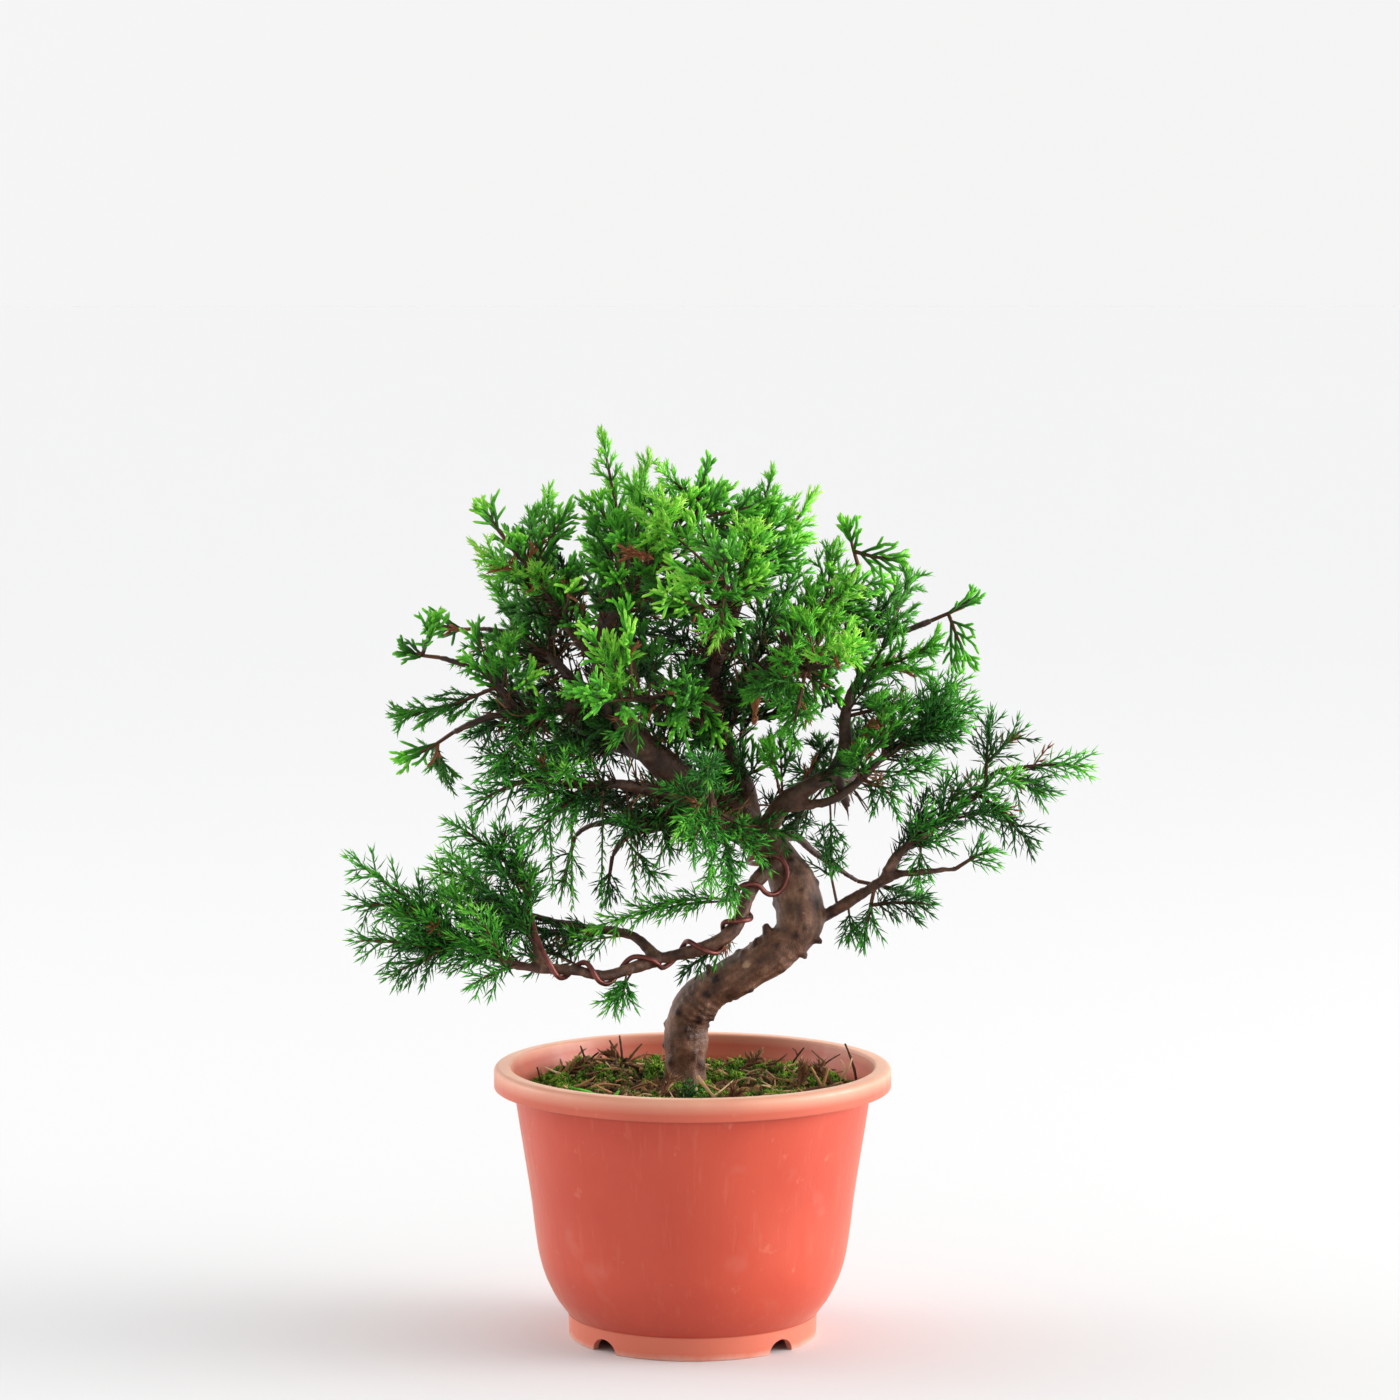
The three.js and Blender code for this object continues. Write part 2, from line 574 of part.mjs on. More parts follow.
// Raises shoots from the six faces of one band: on each side a spreading one from the lower
// face and an upright one from the upper face. Each takes the same number of random draws,
// whether or not it finds room.
function growWhorl(body, parent, band, along, shoots, random) {
  const family = [parent];
  shoots.forEach(({ length, lean, radius, fingers }, order) => {
    const upper = order % 2;
    const face = band[Math.floor(order / 2)] + upper;
    const spread = radians(lean * about(0.1, random));
    const reach = length * about(0.2, random);
    const outward = normalOf(body, body.faces[face]);
    const sideways = new THREE.Vector3().crossVectors(along, outward);
    const direction = along.clone().multiplyScalar(Math.cos(spread));
    direction.addScaledVector(outward, Math.sin(spread));
    direction.addScaledVector(sideways, upper ? -SIDEWAYS : SIDEWAYS).normalize();
    const from = centreOf(body, body.faces[face]);
    const tip = [1, SHORTER]
      .map((share) => from.clone().addScaledVector(direction, reach * share))
      .find((end) => isClear(body.name, family, from, end, radius));
    if (!tip) {
      for (let i = 0; i < 2 * fingers.length; i += 1) random();
      return;
    }
    body.shoots += 1;
    const id = `shoot ${body.shoots}`;
    family.push(id);
    place(body.name, id, [from, tip], [radius, radius]);
    const found = from.distanceTo(tip);
    const shares = fingers.length ? [FORK_SHARE, FORK_SHARE + WHORL_HEIGHT / found] : [];
    const stations = shares.map((share) =>
      ({ at: from.clone().lerp(tip, share), along: direction, radius }));
    const bands = raise(body, face, [...stations, { at: tip, along: direction, radius: 0 }]);
    if (fingers.length) growWhorl(body, id, bands[1], direction, fingers, random);
  });
}

// What grows at one whorl of a stem: some branching shoots, and fingers for the rest
function shootsAt(kind, share, branching) {
  const finger = (lean) =>
    ({ length: kind.fingerLength, lean, radius: kind.fingerRadius, fingers: [] });
  const pair = [finger(kind.spread), finger(kind.upright)];
  const side = {
    length: mix(...kind.sideLength, share),
    lean: kind.spread,
    radius: kind.sideRadius,
    fingers: [...pair, ...pair, ...pair],
  };
  return [0, 1, 2].flatMap((k) => [k < branching ? side : pair[0], pair[1]]);
}

function grownGeometry(branch, body) {
  body.shoots = 0;
  for (const { id, whorls, stations, bands } of body.stems) {
    for (let w = 0; w < whorls; w += 1) {
      const branching = w === whorls - 1 ? 1 : 2 - (w % 2);
      const shoots = shootsAt(branch.kind, w / whorls, branching);
      growWhorl(body, id, bands[2 * w + 1], stations[2 * w].along, shoots, branch.random);
    }
  }
  const geometry = new THREE.BufferGeometry().setFromPoints(body.points);
  geometry.setIndex(body.faces.flat());
  return geometry;
}

// The pot: one moulding, with the rim turned down, drain holes and notches in the foot

function potSolid() {
  const lip = RIM_RADIUS - LIP_WIDTH;
  const [wallTopRadius, wallTop] = WALL_LINE[WALL_LINE.length - 1];
  const inside = WALL_LINE.slice(1).map(([radius, height]) => [radius - WALL, height]);
  const bandBottom = RIM_TOP - RIM_BAND;
  const body = turned([
    [0, FLOOR_UNDERSIDE],
    [FOOT_RADIUS - FOOT_WALL, FLOOR_UNDERSIDE],
    [FOOT_RADIUS - FOOT_WALL, 0],
    [FOOT_RADIUS, 0],
    ...WALL_LINE,
    [wallTopRadius + FLARE_WIDTH, wallTop + FLARE_HEIGHT],
    [RIM_RADIUS - RIM_ROUNDING - 1, RIM_TOP - WALL],
    [RIM_RADIUS - WALL, bandBottom],
    [RIM_RADIUS, bandBottom],
    [RIM_RADIUS, RIM_TOP - RIM_ROUNDING],
    [RIM_RADIUS - RIM_ROUNDING, RIM_TOP],
    [lip + LIP_ROUNDING, RIM_TOP],
    [lip, RIM_TOP - LIP_ROUNDING],
    ...inside.reverse(),
    [FLOOR_RADIUS, FLOOR_TOP],
    [0, FLOOR_TOP],
  ]);
  const arch = new THREE.Shape();
  arch.moveTo(-NOTCH_WIDTH / 2, -1);
  arch.lineTo(NOTCH_WIDTH / 2, -1);
  arch.absellipse(0, 0, NOTCH_WIDTH / 2, NOTCH_HEIGHT, 0, Math.PI);
  const cutDepth = 2 * FOOT_WALL + 4;
  const cuts = [];
  for (let quarter = 0; quarter < 4; quarter += 1) {
    const notch = new THREE.ExtrudeGeometry(arch, {
      depth: cutDepth, bevelEnabled: false, curveSegments: 4,
    });
    notch.translate(0, 0, FOOT_RADIUS - FOOT_WALL / 2 - cutDepth / 2);
    notch.rotateX(Math.PI / 2).rotateZ(Math.PI / 4 + (quarter * Math.PI) / 2);
    cuts.push(solidOf(notch));
  }
  const holes = [[0, 0], ...[0, 1, 2, 3].map((quarter) => {
    const angle = (quarter * Math.PI) / 2;
    return [DRAIN_CIRCLE * Math.cos(angle), DRAIN_CIRCLE * Math.sin(angle)];
  })];
  for (const [x, y] of holes) {
    const drain = new THREE.CylinderGeometry(DRAIN_RADIUS, DRAIN_RADIUS, cutDepth, DRAIN_SIDES);
    drain.rotateX(Math.PI / 2).translate(x, y, (FLOOR_TOP + FLOOR_UNDERSIDE) / 2);
    cuts.push(solidOf(drain));
  }
  return body.subtract(joined(cuts));
}

// The soil fills the pot up to a plain hole round the buried trunk

function trunkHole() {
  const points = TRUNK.slice(0, 4).map(vector);
  points[0].z -= CLEARANCE;
  const widening = 1 / Math.cos(Math.PI / HOLE_SIDES);
  const radii = TRUNK.slice(0, 4).map(([, , , radius]) => (radius + HOLE_CLEARANCE) * widening);
  return solidOf(rod(points, radii, HOLE_SIDES));
}

function soilSolid() {
  const inset = WALL + CLEARANCE;
  const side = WALL_LINE.slice(1, -1).map(([radius, height]) => [radius - inset, height]);
  const [[lowRadius, low], [highRadius, high]] = WALL_LINE.slice(-2);
  const rise = (SOIL_TOP - low) / (high - low);
  const body = turned([
    [0, FLOOR_TOP + CLEARANCE],
    [FLOOR_RADIUS - CLEARANCE, FLOOR_TOP + CLEARANCE],
    ...side,
    [mix(lowRadius, highRadius, rise) - inset, SOIL_TOP],
    [0, SOIL_TOP],
  ]);
  return body.subtract(trunkHole());
}

// The moss lies on the soil as one carpet of low mounds that thins out to the pot's wall

function mossHeight(x, y) {
  const [wide, deep, slant] = MOUND_WIDTHS;
  const mounds = Math.sin(x / wide) * Math.cos(y / deep) + Math.sin((x + y) / slant);
  const inward = MOSS_RADIUS - Math.hypot(x, y);
  const shoulder = THREE.MathUtils.smoothstep(inward, 0, MOSS_SHOULDER);
  return MOSS_EDGE + shoulder * (MOSS_THICKNESS + MOUND_HEIGHT * mounds);
}

function mossSolid() {
  const RINGS = 5;
  const AROUND = 24;
  const base = SOIL_TOP + CLEARANCE;
  const positions = [0, 0, base + mossHeight(0, 0), 0, 0, base];
  const index = [];
  const pointOf = (ring, k) => 2 + (ring - 1) * AROUND + (k % AROUND);
  for (let ring = 1; ring <= RINGS + 1; ring += 1) {
    const radius = (MOSS_RADIUS * Math.min(ring, RINGS)) / RINGS;
    for (let k = 0; k < AROUND; k += 1) {
      const angle = (2 * Math.PI * k) / AROUND;
      const x = radius * Math.cos(angle);
      const y = radius * Math.sin(angle);
      positions.push(x, y, ring > RINGS ? base : base + mossHeight(x, y));
    }
  }
  for (let k = 0; k < AROUND; k += 1) {
    index.push(0, pointOf(1, k), pointOf(1, k + 1));
    index.push(1, pointOf(RINGS + 1, k + 1), pointOf(RINGS + 1, k));
    for (let ring = 1; ring <= RINGS; ring += 1) {
      const [a, b] = [pointOf(ring, k), pointOf(ring, k + 1)];
      const [c, d] = [pointOf(ring + 1, k), pointOf(ring + 1, k + 1)];
      index.push(a, c, d, a, d, b);
    }
  }
  const carpet = new THREE.BufferGeometry();
  carpet.setAttribute('position', new THREE.Float32BufferAttribute(positions, 3));
  carpet.setIndex(index);
  return solidOf(carpet).subtract(trunkHole());
}

// The training wire: held behind the trunk, then coiled out along the low left branch

function coilPoints([limb, from, to, startTurn, turns]) {
  const curve = limbCurves[limb];
  const count = Math.max(2, Math.round(Math.abs(turns) * WIRE_STEPS_A_TURN));
  const points = [];
  for (let k = 0; k <= count; k += 1) {
    const share = mix(from, to, k / count);
    const along = curve.getTangentAt(share);
    const flat = new THREE.Vector3().crossVectors(along, UP).normalize();
    flat.applyAxisAngle(along, 2 * Math.PI * (startTurn + (turns * k) / count));
    const reach = radiusAlong(limb, share) + WIRE_RADIUS + WIRE_STANDOFF;
    points.push(curve.getPointAt(share).addScaledVector(flat, reach));
  }
  return points;
}

function wireSolid() {
  const points = [
    ...WIRE_HOOK.map(vector),
    ...WIRE_STRETCHES.flatMap(coilPoints),
    ...WIRE_END.map(vector),
  ];
  const radii = points.map(() => WIRE_RADIUS);
  place('training_wire', 'wire', points, radii);
  return solidOf(rod(points, radii, WIRE_SIDES));
}

// Materials

const finish = (color, roughness) =>
  new THREE.MeshStandardMaterial({ color, roughness, metalness: 0 });

const terracottaPlastic = finish('#cf6348', 0.45);
const darkSoil = finish('#4a3526', 0.95);
const mossGreen = finish('#3f6b1f', 0.9);
const juniperBark = finish('#6b5140', 0.85);
const scaleGreen = finish('#3fae2f', 0.6);
const needleGreen = finish('#2f9a33', 0.6);
const copperWire = new THREE.MeshStandardMaterial({
  color: '#7a4034', roughness: 0.45, metalness: 0.7,
});

// The whole plant

const plant = new THREE.Group();
const sideTwigs = branches.filter(({ fraction }) => fraction < 1).map(twigSolid);
const wood = joined([...limbSolids(), ...STUBS.map(stubSolid), ...sideTwigs]);

plant.add(meshOf('pot', geometryOf(potSolid()), terracottaPlastic));
plant.add(meshOf('soil', geometryOf(soilSolid()), darkSoil));
plant.add(meshOf('moss', geometryOf(mossSolid()), mossGreen));
plant.add(meshOf('tree_wood', geometryOf(wood), juniperBark));
plant.add(meshOf('training_wire', geometryOf(wireSolid()), copperWire));

const bodies = branches.map(bareBody);
branches.forEach((branch, i) => {
  const green = branch.kind === KINDS.scale ? scaleGreen : needleGreen;
  plant.add(meshOf(branch.name, grownGeometry(branch, bodies[i]), green));
});

const middle = new THREE.Box3().setFromObject(plant).getCenter(new THREE.Vector3());
plant.position.set(-middle.x, -middle.y, 0);

export default plant;
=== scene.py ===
"""The looks of a small juniper bonsai in its plastic pot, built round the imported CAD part.

Lengths in the tables are millimetres from the pot's axis, as in the CAD source, with the foot
on z = 0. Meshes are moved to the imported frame, in metres, as they are made.
"""
import json
import math
from collections import namedtuple

import bpy
import numpy as np
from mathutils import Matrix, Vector, noise

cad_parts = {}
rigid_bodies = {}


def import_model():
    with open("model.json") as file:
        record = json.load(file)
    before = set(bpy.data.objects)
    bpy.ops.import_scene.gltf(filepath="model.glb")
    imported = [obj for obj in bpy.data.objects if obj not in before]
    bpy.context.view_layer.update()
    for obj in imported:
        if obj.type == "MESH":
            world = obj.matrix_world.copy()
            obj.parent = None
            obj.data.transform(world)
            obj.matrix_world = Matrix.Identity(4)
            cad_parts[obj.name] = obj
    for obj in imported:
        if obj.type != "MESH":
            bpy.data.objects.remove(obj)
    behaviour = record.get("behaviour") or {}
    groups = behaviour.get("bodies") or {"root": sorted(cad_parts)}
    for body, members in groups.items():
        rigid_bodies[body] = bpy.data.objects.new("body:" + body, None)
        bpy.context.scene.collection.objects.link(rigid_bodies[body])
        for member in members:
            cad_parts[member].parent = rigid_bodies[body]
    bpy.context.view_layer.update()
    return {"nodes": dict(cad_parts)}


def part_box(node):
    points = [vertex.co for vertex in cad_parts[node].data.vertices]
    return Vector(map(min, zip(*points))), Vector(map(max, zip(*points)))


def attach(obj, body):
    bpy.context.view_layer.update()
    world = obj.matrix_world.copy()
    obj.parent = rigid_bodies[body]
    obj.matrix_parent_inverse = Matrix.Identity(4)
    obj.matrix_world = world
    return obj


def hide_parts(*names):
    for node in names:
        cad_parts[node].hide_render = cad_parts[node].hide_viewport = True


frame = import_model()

pot_low, pot_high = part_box("pot")

MM = 0.001
POT_AXIS = np.array([(pot_low.x + pot_high.x) / 2, (pot_low.y + pot_high.y) / 2, 0.0])
UP = np.array([0.0, 0.0, 1.0])
EAST = np.array([1.0, 0.0, 0.0])

# Pot
RIM_RADIUS = 75
RIM_TOP = 103
RIM_BAND = 8.2
WALL = 1.5
WALL_LEAN = 0.154  # how far the wall leans out near its rim for each step up
FOOT_RADIUS = 46.9
FOOT_HEIGHT = 9
FOOT_WALL = 2.8
FLOOR_TOP = 9.2
FLOOR_UNDERSIDE = 6.8
FLOOR_RADIUS = 45.4
NOTCH_WIDTH = 12
NOTCH_HEIGHT = 5.2
DRAIN_RADIUS = 5
DRAIN_CIRCLE = 28
QUARTERS = np.pi / 2 * np.arange(4)
WALL_LINE = [
    (47.4, 9), (51.7, 14.8), (54.3, 19.8), (56.4, 24.8), (58.3, 32), (59.8, 42), (61.1, 53),
    (63.8, 70.6), (65.3, 80), (67.3, 93),
]
POT_SIDES = 144

# Filling
SOIL_TOP = 91.3
MOSS_RADIUS = 64.6

# Trunk: the middle line from the soil to the leader's end, as (x, y, z, radius)
TRUNK = [
    (-3, 8, 72, 9.6), (-3, 8, 91, 8.7), (-2.5, 8, 107, 7.9), (-1.8, 7, 119, 7.6),
    (5, 5, 129, 8.2), (21, 2, 139, 7.4), (35, 0, 149, 8.0), (40, 0, 156, 9.0),
    (40, 1, 164, 9.2), (37, 3, 173, 8.0), (31, 6, 183, 7.0), (20, 10, 192, 6.8),
    (7, 12, 201, 6.4), (-5, 10, 211, 5.8), (-16, 6, 221, 5.1), (-26, 2, 233, 4.3),
    (-33, 0, 248, 3.5), (-35, 2, 264, 2.8), (-31, 4, 278, 2.1), (-24, 5, 293, 1.4),
]

# Limbs: radius at the root, radius at the tip, and the middle line's points
LIMBS = {
    "leader2": (4.5, 1.3, [(21, 12, 192), (20, 20, 205), (13, 18, 220), (7, 12, 238), (9, 8, 256),
        (15, 6, 271), (19, 6, 284), (22, 5, 297)]),
    "right": (4.2, 1.3, [(26, 8, 188), (34, 0, 202), (47, -5, 211), (53, -6, 215), (57, -6, 225),
        (57, -4, 235), (60, 0, 245), (67, 4, 253)]),
    "right_twig": (2.0, 1.0, [(35, -1, 201), (51, -8, 204), (61, -11, 211), (69, -12, 219),
        (77, -12, 225), (84, -10, 229)]),
    "right_up": (2.8, 1.1, [(8, 12, 240), (20, 5, 244), (32, 0, 258), (38, -2, 266),
        (47, -4, 275), (55, -5, 283), (62, -5, 291)]),
    "right_mid": (2.2, 1.0, [(24, 4, 248), (38, 10, 252), (49, 14, 256), (61, 16, 262),
        (69, 16, 264), (80, 15, 266), (90, 14, 270)]),
    "left": (2.6, 1.0, [(-31, 0, 237), (-36, -1, 240), (-51, -4, 238), (-59, -6, 237),
        (-68, -8, 237), (-78, -9, 235), (-89, -9, 230)]),
    "left_fingers": (1.5, 0.9, [(-64, -7, 237), (-69, -9, 242), (-72, -10, 247), (-76, -10, 252),
        (-84, -10, 255), (-94, -10, 258)]),
    "left_up": (2.4, 1.0, [(-32, 0, 241), (-42, 6, 246), (-48, 10, 251), (-55, 14, 257),
        (-61, 18, 260), (-69, 22, 264), (-78, 24, 266)]),
    "low_crown": (2.6, 1.0, [(-5, 9, 202), (-11, 6, 205), (-20, 0, 208), (-28, -5, 210),
        (-39, -9, 210), (-49, -12, 211), (-60, -14, 213)]),
    "low_twig": (1.8, 0.9, [(3, 12, 199), (-5, 8, 194), (-14, 4, 192), (-24, -2, 191),
        (-27, -4, 188), (-30, -6, 183)]),
    "low_back_twig": (1.7, 0.9, [(-1, 14, 202), (-15, 20, 193), (-27, 24, 193), (-40, 28, 190),
        (-45, 30, 186)]),
    "front_low": (2.8, 1.0, [(19, 8, 193), (15, -6, 196), (10, -20, 200), (7, -36, 208),
        (6, -48, 214)]),
    "front_mid": (2.4, 1.0, [(7, 12, 238), (3, -4, 242), (-5, -20, 244), (-14, -36, 245),
        (-22, -48, 246)]),
    "front_up": (2.2, 1.0, [(9, 8, 256), (9, -8, 266), (11, -24, 276), (12, -38, 285),
        (12, -50, 291)]),
    "front_right": (2.2, 1.0, [(32, 0, 258), (36, -14, 256), (40, -28, 256), (45, -42, 257),
        (50, -52, 259)]),
    "back_low": (2.8, 1.0, [(10, 12, 200), (7, 28, 198), (3, 44, 198), (-3, 58, 200),
        (-10, 68, 203)]),
    "back_mid": (2.6, 1.0, [(11, 17, 226), (14, 32, 232), (19, 46, 239), (23, 58, 247),
        (26, 68, 254)]),
    "back_right": (2.4, 1.0, [(48, -5, 212), (55, 12, 209), (62, 28, 209), (70, 42, 212),
        (76, 52, 218)]),
    "back_left": (2.6, 1.0, [(-16, 4, 220), (-33, 18, 223), (-41, 34, 226), (-49, 48, 230),
        (-55, 58, 236)]),
    "back_up": (2.0, 0.9, [(-34, 2, 253), (-34, 18, 259), (-29, 34, 266), (-24, 46, 274),
        (-20, 54, 283)]),
    "left_top": (2.0, 0.9, [(-35, 2, 256), (-43, -4, 264), (-49, -8, 274), (-56, -10, 284),
        (-63, -10, 294), (-68, -10, 300)]),
    "crown_top": (1.8, 0.9, [(-35, 3, 264), (-29, -2, 274), (-22, -8, 285), (-14, -12, 295),
        (-6, -14, 304), (1, -14, 310)]),
    "behind_right": (1.8, 0.9, [(32, 8, 189), (40, 16, 187), (46, 22, 181), (57, 26, 173),
        (63, 28, 169)]),
    "low_left": (3.4, 2.4, [(33, 2, 179), (27, -6, 177), (21, -14, 170), (18, -18, 162),
        (13, -20, 155), (3, -20, 150), (-8, -18, 147), (-14, -18, 146)]),
    "low_left_front": (2.3, 1.2, [(-14, -18, 146), (-20, -22, 144), (-32, -26, 141),
        (-42, -28, 143), (-56, -28, 144), (-66, -26, 145), (-76, -22, 148), (-87, -18, 153),
        (-95, -15, 158)]),
    "low_left_back": (2.0, 1.1, [(-13, -18, 146), (-21, -12, 153), (-29, -8, 155), (-37, -4, 155),
        (-45, 0, 156), (-53, 4, 157), (-64, 6, 160), (-74, 6, 165)]),
    "low_left_riser": (1.6, 1.0, [(-55, -28, 144), (-58, -24, 151), (-61, -18, 162),
        (-62, -12, 170), (-66, -10, 178)]),
    "low_right": (2.4, 1.8, [(40, 1, 158), (49, 2, 159), (61, -4, 167), (71, -8, 174),
        (73, -10, 178)]),
    "low_right_up": (1.8, 1.0, [(73, -10, 177), (76, -10, 183), (80, -10, 187), (90, -10, 194),
        (99, -8, 201), (106, -6, 206), (113, -4, 214), (121, -3, 216)]),
    "low_right_low": (1.5, 0.9, [(71, -8, 174), (77, -12, 177), (83, -16, 178), (90, -18, 179),
        (98, -19, 180)]),
}

# Stubs of cut shoots on the trunk: root inside the wood, then the blunt end
STUBS = [
    ((29, 0, 152), (26.9, -4.6, 157.4)), ((24, 1, 143), (23.4, -4, 151)),
    ((8, 4, 134), (5.5, -1, 142)), ((39, 0, 153), (50, -5.5, 150)),
    ((36, -1, 150), (44, -4.5, 143.5)), ((29, 0, 145), (35.5, -4, 138)),
    ((18, 2, 138), (23.5, -3, 130.5)), ((53, -6, 216), (59, -3, 199)),
]

# Pale healed cuts on the front of the trunk, as (x, y, z, radius)
SCARS = [(20, -6, 142, 1.5), (41.8, -8, 161.8, 0.7), (26, -6.5, 137, 0.6)]

# Where the trunk's bark is creased across, as (x, y, z, reach)
CREASES = [(3, 0, 121, 10), (2, -2, 108, 5), (36, -6, 145, 5)]

# Leafy branches: limb, place along it, kind of foliage, and the tips that its stems reach
LEAFY = [
    ("left_fingers", 1.0, "scale", [(-109, -14, 262), (-95, -22, 276)]),
    ("left_fingers", 0.35, "scale", [(-111, -20, 237)]),
    ("left", 1.0, "scale", [(-110, -14, 219), (-95, 6, 213)]),
    ("left", 0.42, "needle", [(-76, -30, 214)]),
    ("left_up", 1.0, "scale", [(-101, 34, 268)]),
    ("left_up", 0.38, "scale", [(-62, 44, 284)]),
    ("low_crown", 1.0, "needle", [(-83, -18, 203)]),
    ("low_crown", 0.62, "needle", [(-63, -40, 190)]),
    ("left_top", 1.0, "scale", [(-79, -10, 317)]),
    ("left_top", 0.72, "scale", [(-78, -34, 300)]),
    ("left_top", 0.8, "scale", [(-53, 14, 318)]),
    ("trunk", 1.0, "scale", [(-34, 4, 342), (-16, 22, 333)]),
    ("crown_top", 1.0, "scale", [(6, -12, 334), (-12, -26, 329)]),
    ("crown_top", 0.65, "scale", [(-10, -56, 319)]),
    ("leader2", 1.0, "scale", [(30, 6, 328)]),
    ("leader2", 0.86, "scale", [(46, 24, 318)]),
    ("leader2", 0.78, "scale", [(22, -46, 311)]),
    ("right_up", 1.0, "scale", [(57, -10, 310), (79, -14, 295)]),
    ("right_up", 0.62, "scale", [(58, -52, 290)]),
    ("right_mid", 1.0, "scale", [(108, 14, 280), (105, 6, 253)]),
    ("right_mid", 0.75, "scale", [(84, 40, 287)]),
    ("right", 1.0, "scale", [(91, -24, 266)]),
    ("right", 0.74, "needle", [(101, 14, 240)]),
    ("right_twig", 1.0, "needle", [(98, -22, 233)]),
    ("right_twig", 0.55, "needle", [(76, -34, 207)]),
    ("front_up", 1.0, "scale", [(11, -84, 305)]),
    ("front_up", 0.62, "scale", [(-12, -66, 287)]),
    ("front_mid", 1.0, "scale", [(-38, -84, 253), (-29, -60, 269)]),
    ("front_mid", 0.42, "scale", [(-1, -72, 252)]),
    ("front_low", 1.0, "needle", [(5, -88, 227)]),
    ("front_low", 0.72, "needle", [(-1, -62, 193)]),
    ("front_low", 0.4, "needle", [(25, -46, 186)]),
    ("front_right", 1.0, "scale", [(56, -84, 271)]),
    ("front_right", 0.62, "scale", [(35, -66, 233)]),
    ("back_low", 1.0, "needle", [(-17, 96, 192), (12, 84, 178)]),
    ("back_mid", 1.0, "scale", [(31, 98, 264)]),
    ("back_mid", 0.62, "scale", [(3, 92, 256)]),
    ("back_right", 1.0, "needle", [(93, 72, 223), (66, 84, 237)]),
    ("back_left", 1.0, "scale", [(-72, 78, 238)]),
    ("back_left", 0.6, "needle", [(-54, 76, 210)]),
    ("back_up", 1.0, "scale", [(-13, 70, 305)]),
    ("back_up", 0.6, "scale", [(-44, 76, 289)]),
    ("low_twig", 1.0, "needle", [(-32, -10, 168)]),
    ("low_back_twig", 1.0, "needle", [(-51, 34, 161)]),
    ("behind_right", 1.0, "needle", [(92, 30, 160)]),
    ("low_left_front", 1.0, "needle", [(-130, -8, 183), (-128, -16, 165)]),
    ("low_left_front", 0.86, "needle", [(-114, -30, 140), (-126, -34, 155)]),
    ("low_left_front", 0.6, "needle", [(-81, -50, 141), (-81, -44, 170)]),
    ("low_left_back", 1.0, "needle", [(-97, 30, 181), (-101, 10, 176)]),
    ("low_left_riser", 1.0, "needle", [(-92, -14, 198), (-69, -24, 196)]),
    ("low_right_up", 1.0, "needle", [(150, -2, 216)]),
    ("low_right_up", 0.72, "needle", [(127, -24, 188)]),
    ("low_right_up", 0.8, "needle", [(112, 10, 236), (126, 4, 231)]),
    ("low_right_low", 1.0, "needle", [(111, -26, 188)]),
    ("low_right", 0.8, "needle", [(64, -8, 149), (90, -16, 166)]),
]

# Training wire: the hook over the trunk, the x of each crossing in front of the low left
# limb, and the end that leaves it
WIRE_RADIUS = 1.0
WIRE_HOOK = [(39.4, 12.6, 176.8), (33, 14, 177.2), (26, 13, 177.6), (21.4, 8, 178.6),
             (21.6, 1, 181.2), (27.6, -4.4, 183.2), (31.6, -5.2, 183.2), (34.6, -5.4, 180.4),
             (35.6, -6, 176.8), (34.6, -7, 172.4), (32, -8, 169.4), (29.4, -11, 169),
             (26.6, -14.8, 170.6)]
WIRE_CROSSINGS = [22.6, 17.4, 4.3, -15.1, -36, -50.5]
FIRST_TURN = -0.46
LAST_TURN = 4.42
WIRE_END = [(-53.6, -32, 147.6), (-56, -30.4, 152), (-58.4, -27, 157.5), (-60, -22.5, 163)]


def mix(a, b, share):
    return a + (b - a) * share


def unit(vector):
    return vector / np.linalg.norm(vector, axis=-1, keepdims=True)


# Lines


class Line:
    """A line sampled finely, read by its share of the length, with a radius at each sample."""

    def __init__(self, points, radii=None):
        self.points = np.asarray(points, float)
        steps = np.linalg.norm(np.diff(self.points, axis=0), axis=1)
        self.run = np.concatenate([[0], np.cumsum(steps)])
        self.length = self.run[-1]
        self.radii = radii

    def at(self, share):
        where = np.asarray(share) * self.length
        return np.stack([np.interp(where, self.run, axis) for axis in self.points.T], -1)

    def direction(self, share):
        step = 0.01
        return unit(self.at(np.minimum(share + step, 1)) - self.at(np.maximum(share - step, 0)))

    def radius(self, share):
        return np.interp(np.asarray(share) * self.length, self.run, self.radii)


def smooth_points(points, samples=24):
    """A smooth line through points, the same as in the CAD source, finely sampled."""
    inner = np.array([p[:3] for p in points], float)
    held = np.vstack([2 * inner[0] - inner[1], inner, 2 * inner[-1] - inner[-2]])
    t = np.linspace(0, 1, samples, endpoint=False)[:, None]
    spans = []
    for a, b, c, d in zip(held, held[1:], held[2:], held[3:]):
        lead, tail = (c - a) / 2, (d - b) / 2
        spans.append(b + lead * t + (3 * (c - b) - 2 * lead - tail) * t**2
                     + (2 * (b - c) + lead + tail) * t**3)
    return np.vstack([*spans, inner[-1:]])


def trunk_line(samples=24):
    radii = np.array([p[3] for p in TRUNK], float)
    spans = np.arange((len(TRUNK) - 1) * samples + 1) / samples
    return Line(smooth_points(TRUNK, samples), np.interp(spans, np.arange(len(radii)), radii))


def limb_line(root_radius, tip_radius, points):
    line = Line(smooth_points(points))
    line.radii = mix(root_radius, tip_radius, line.run / line.length)
    return line


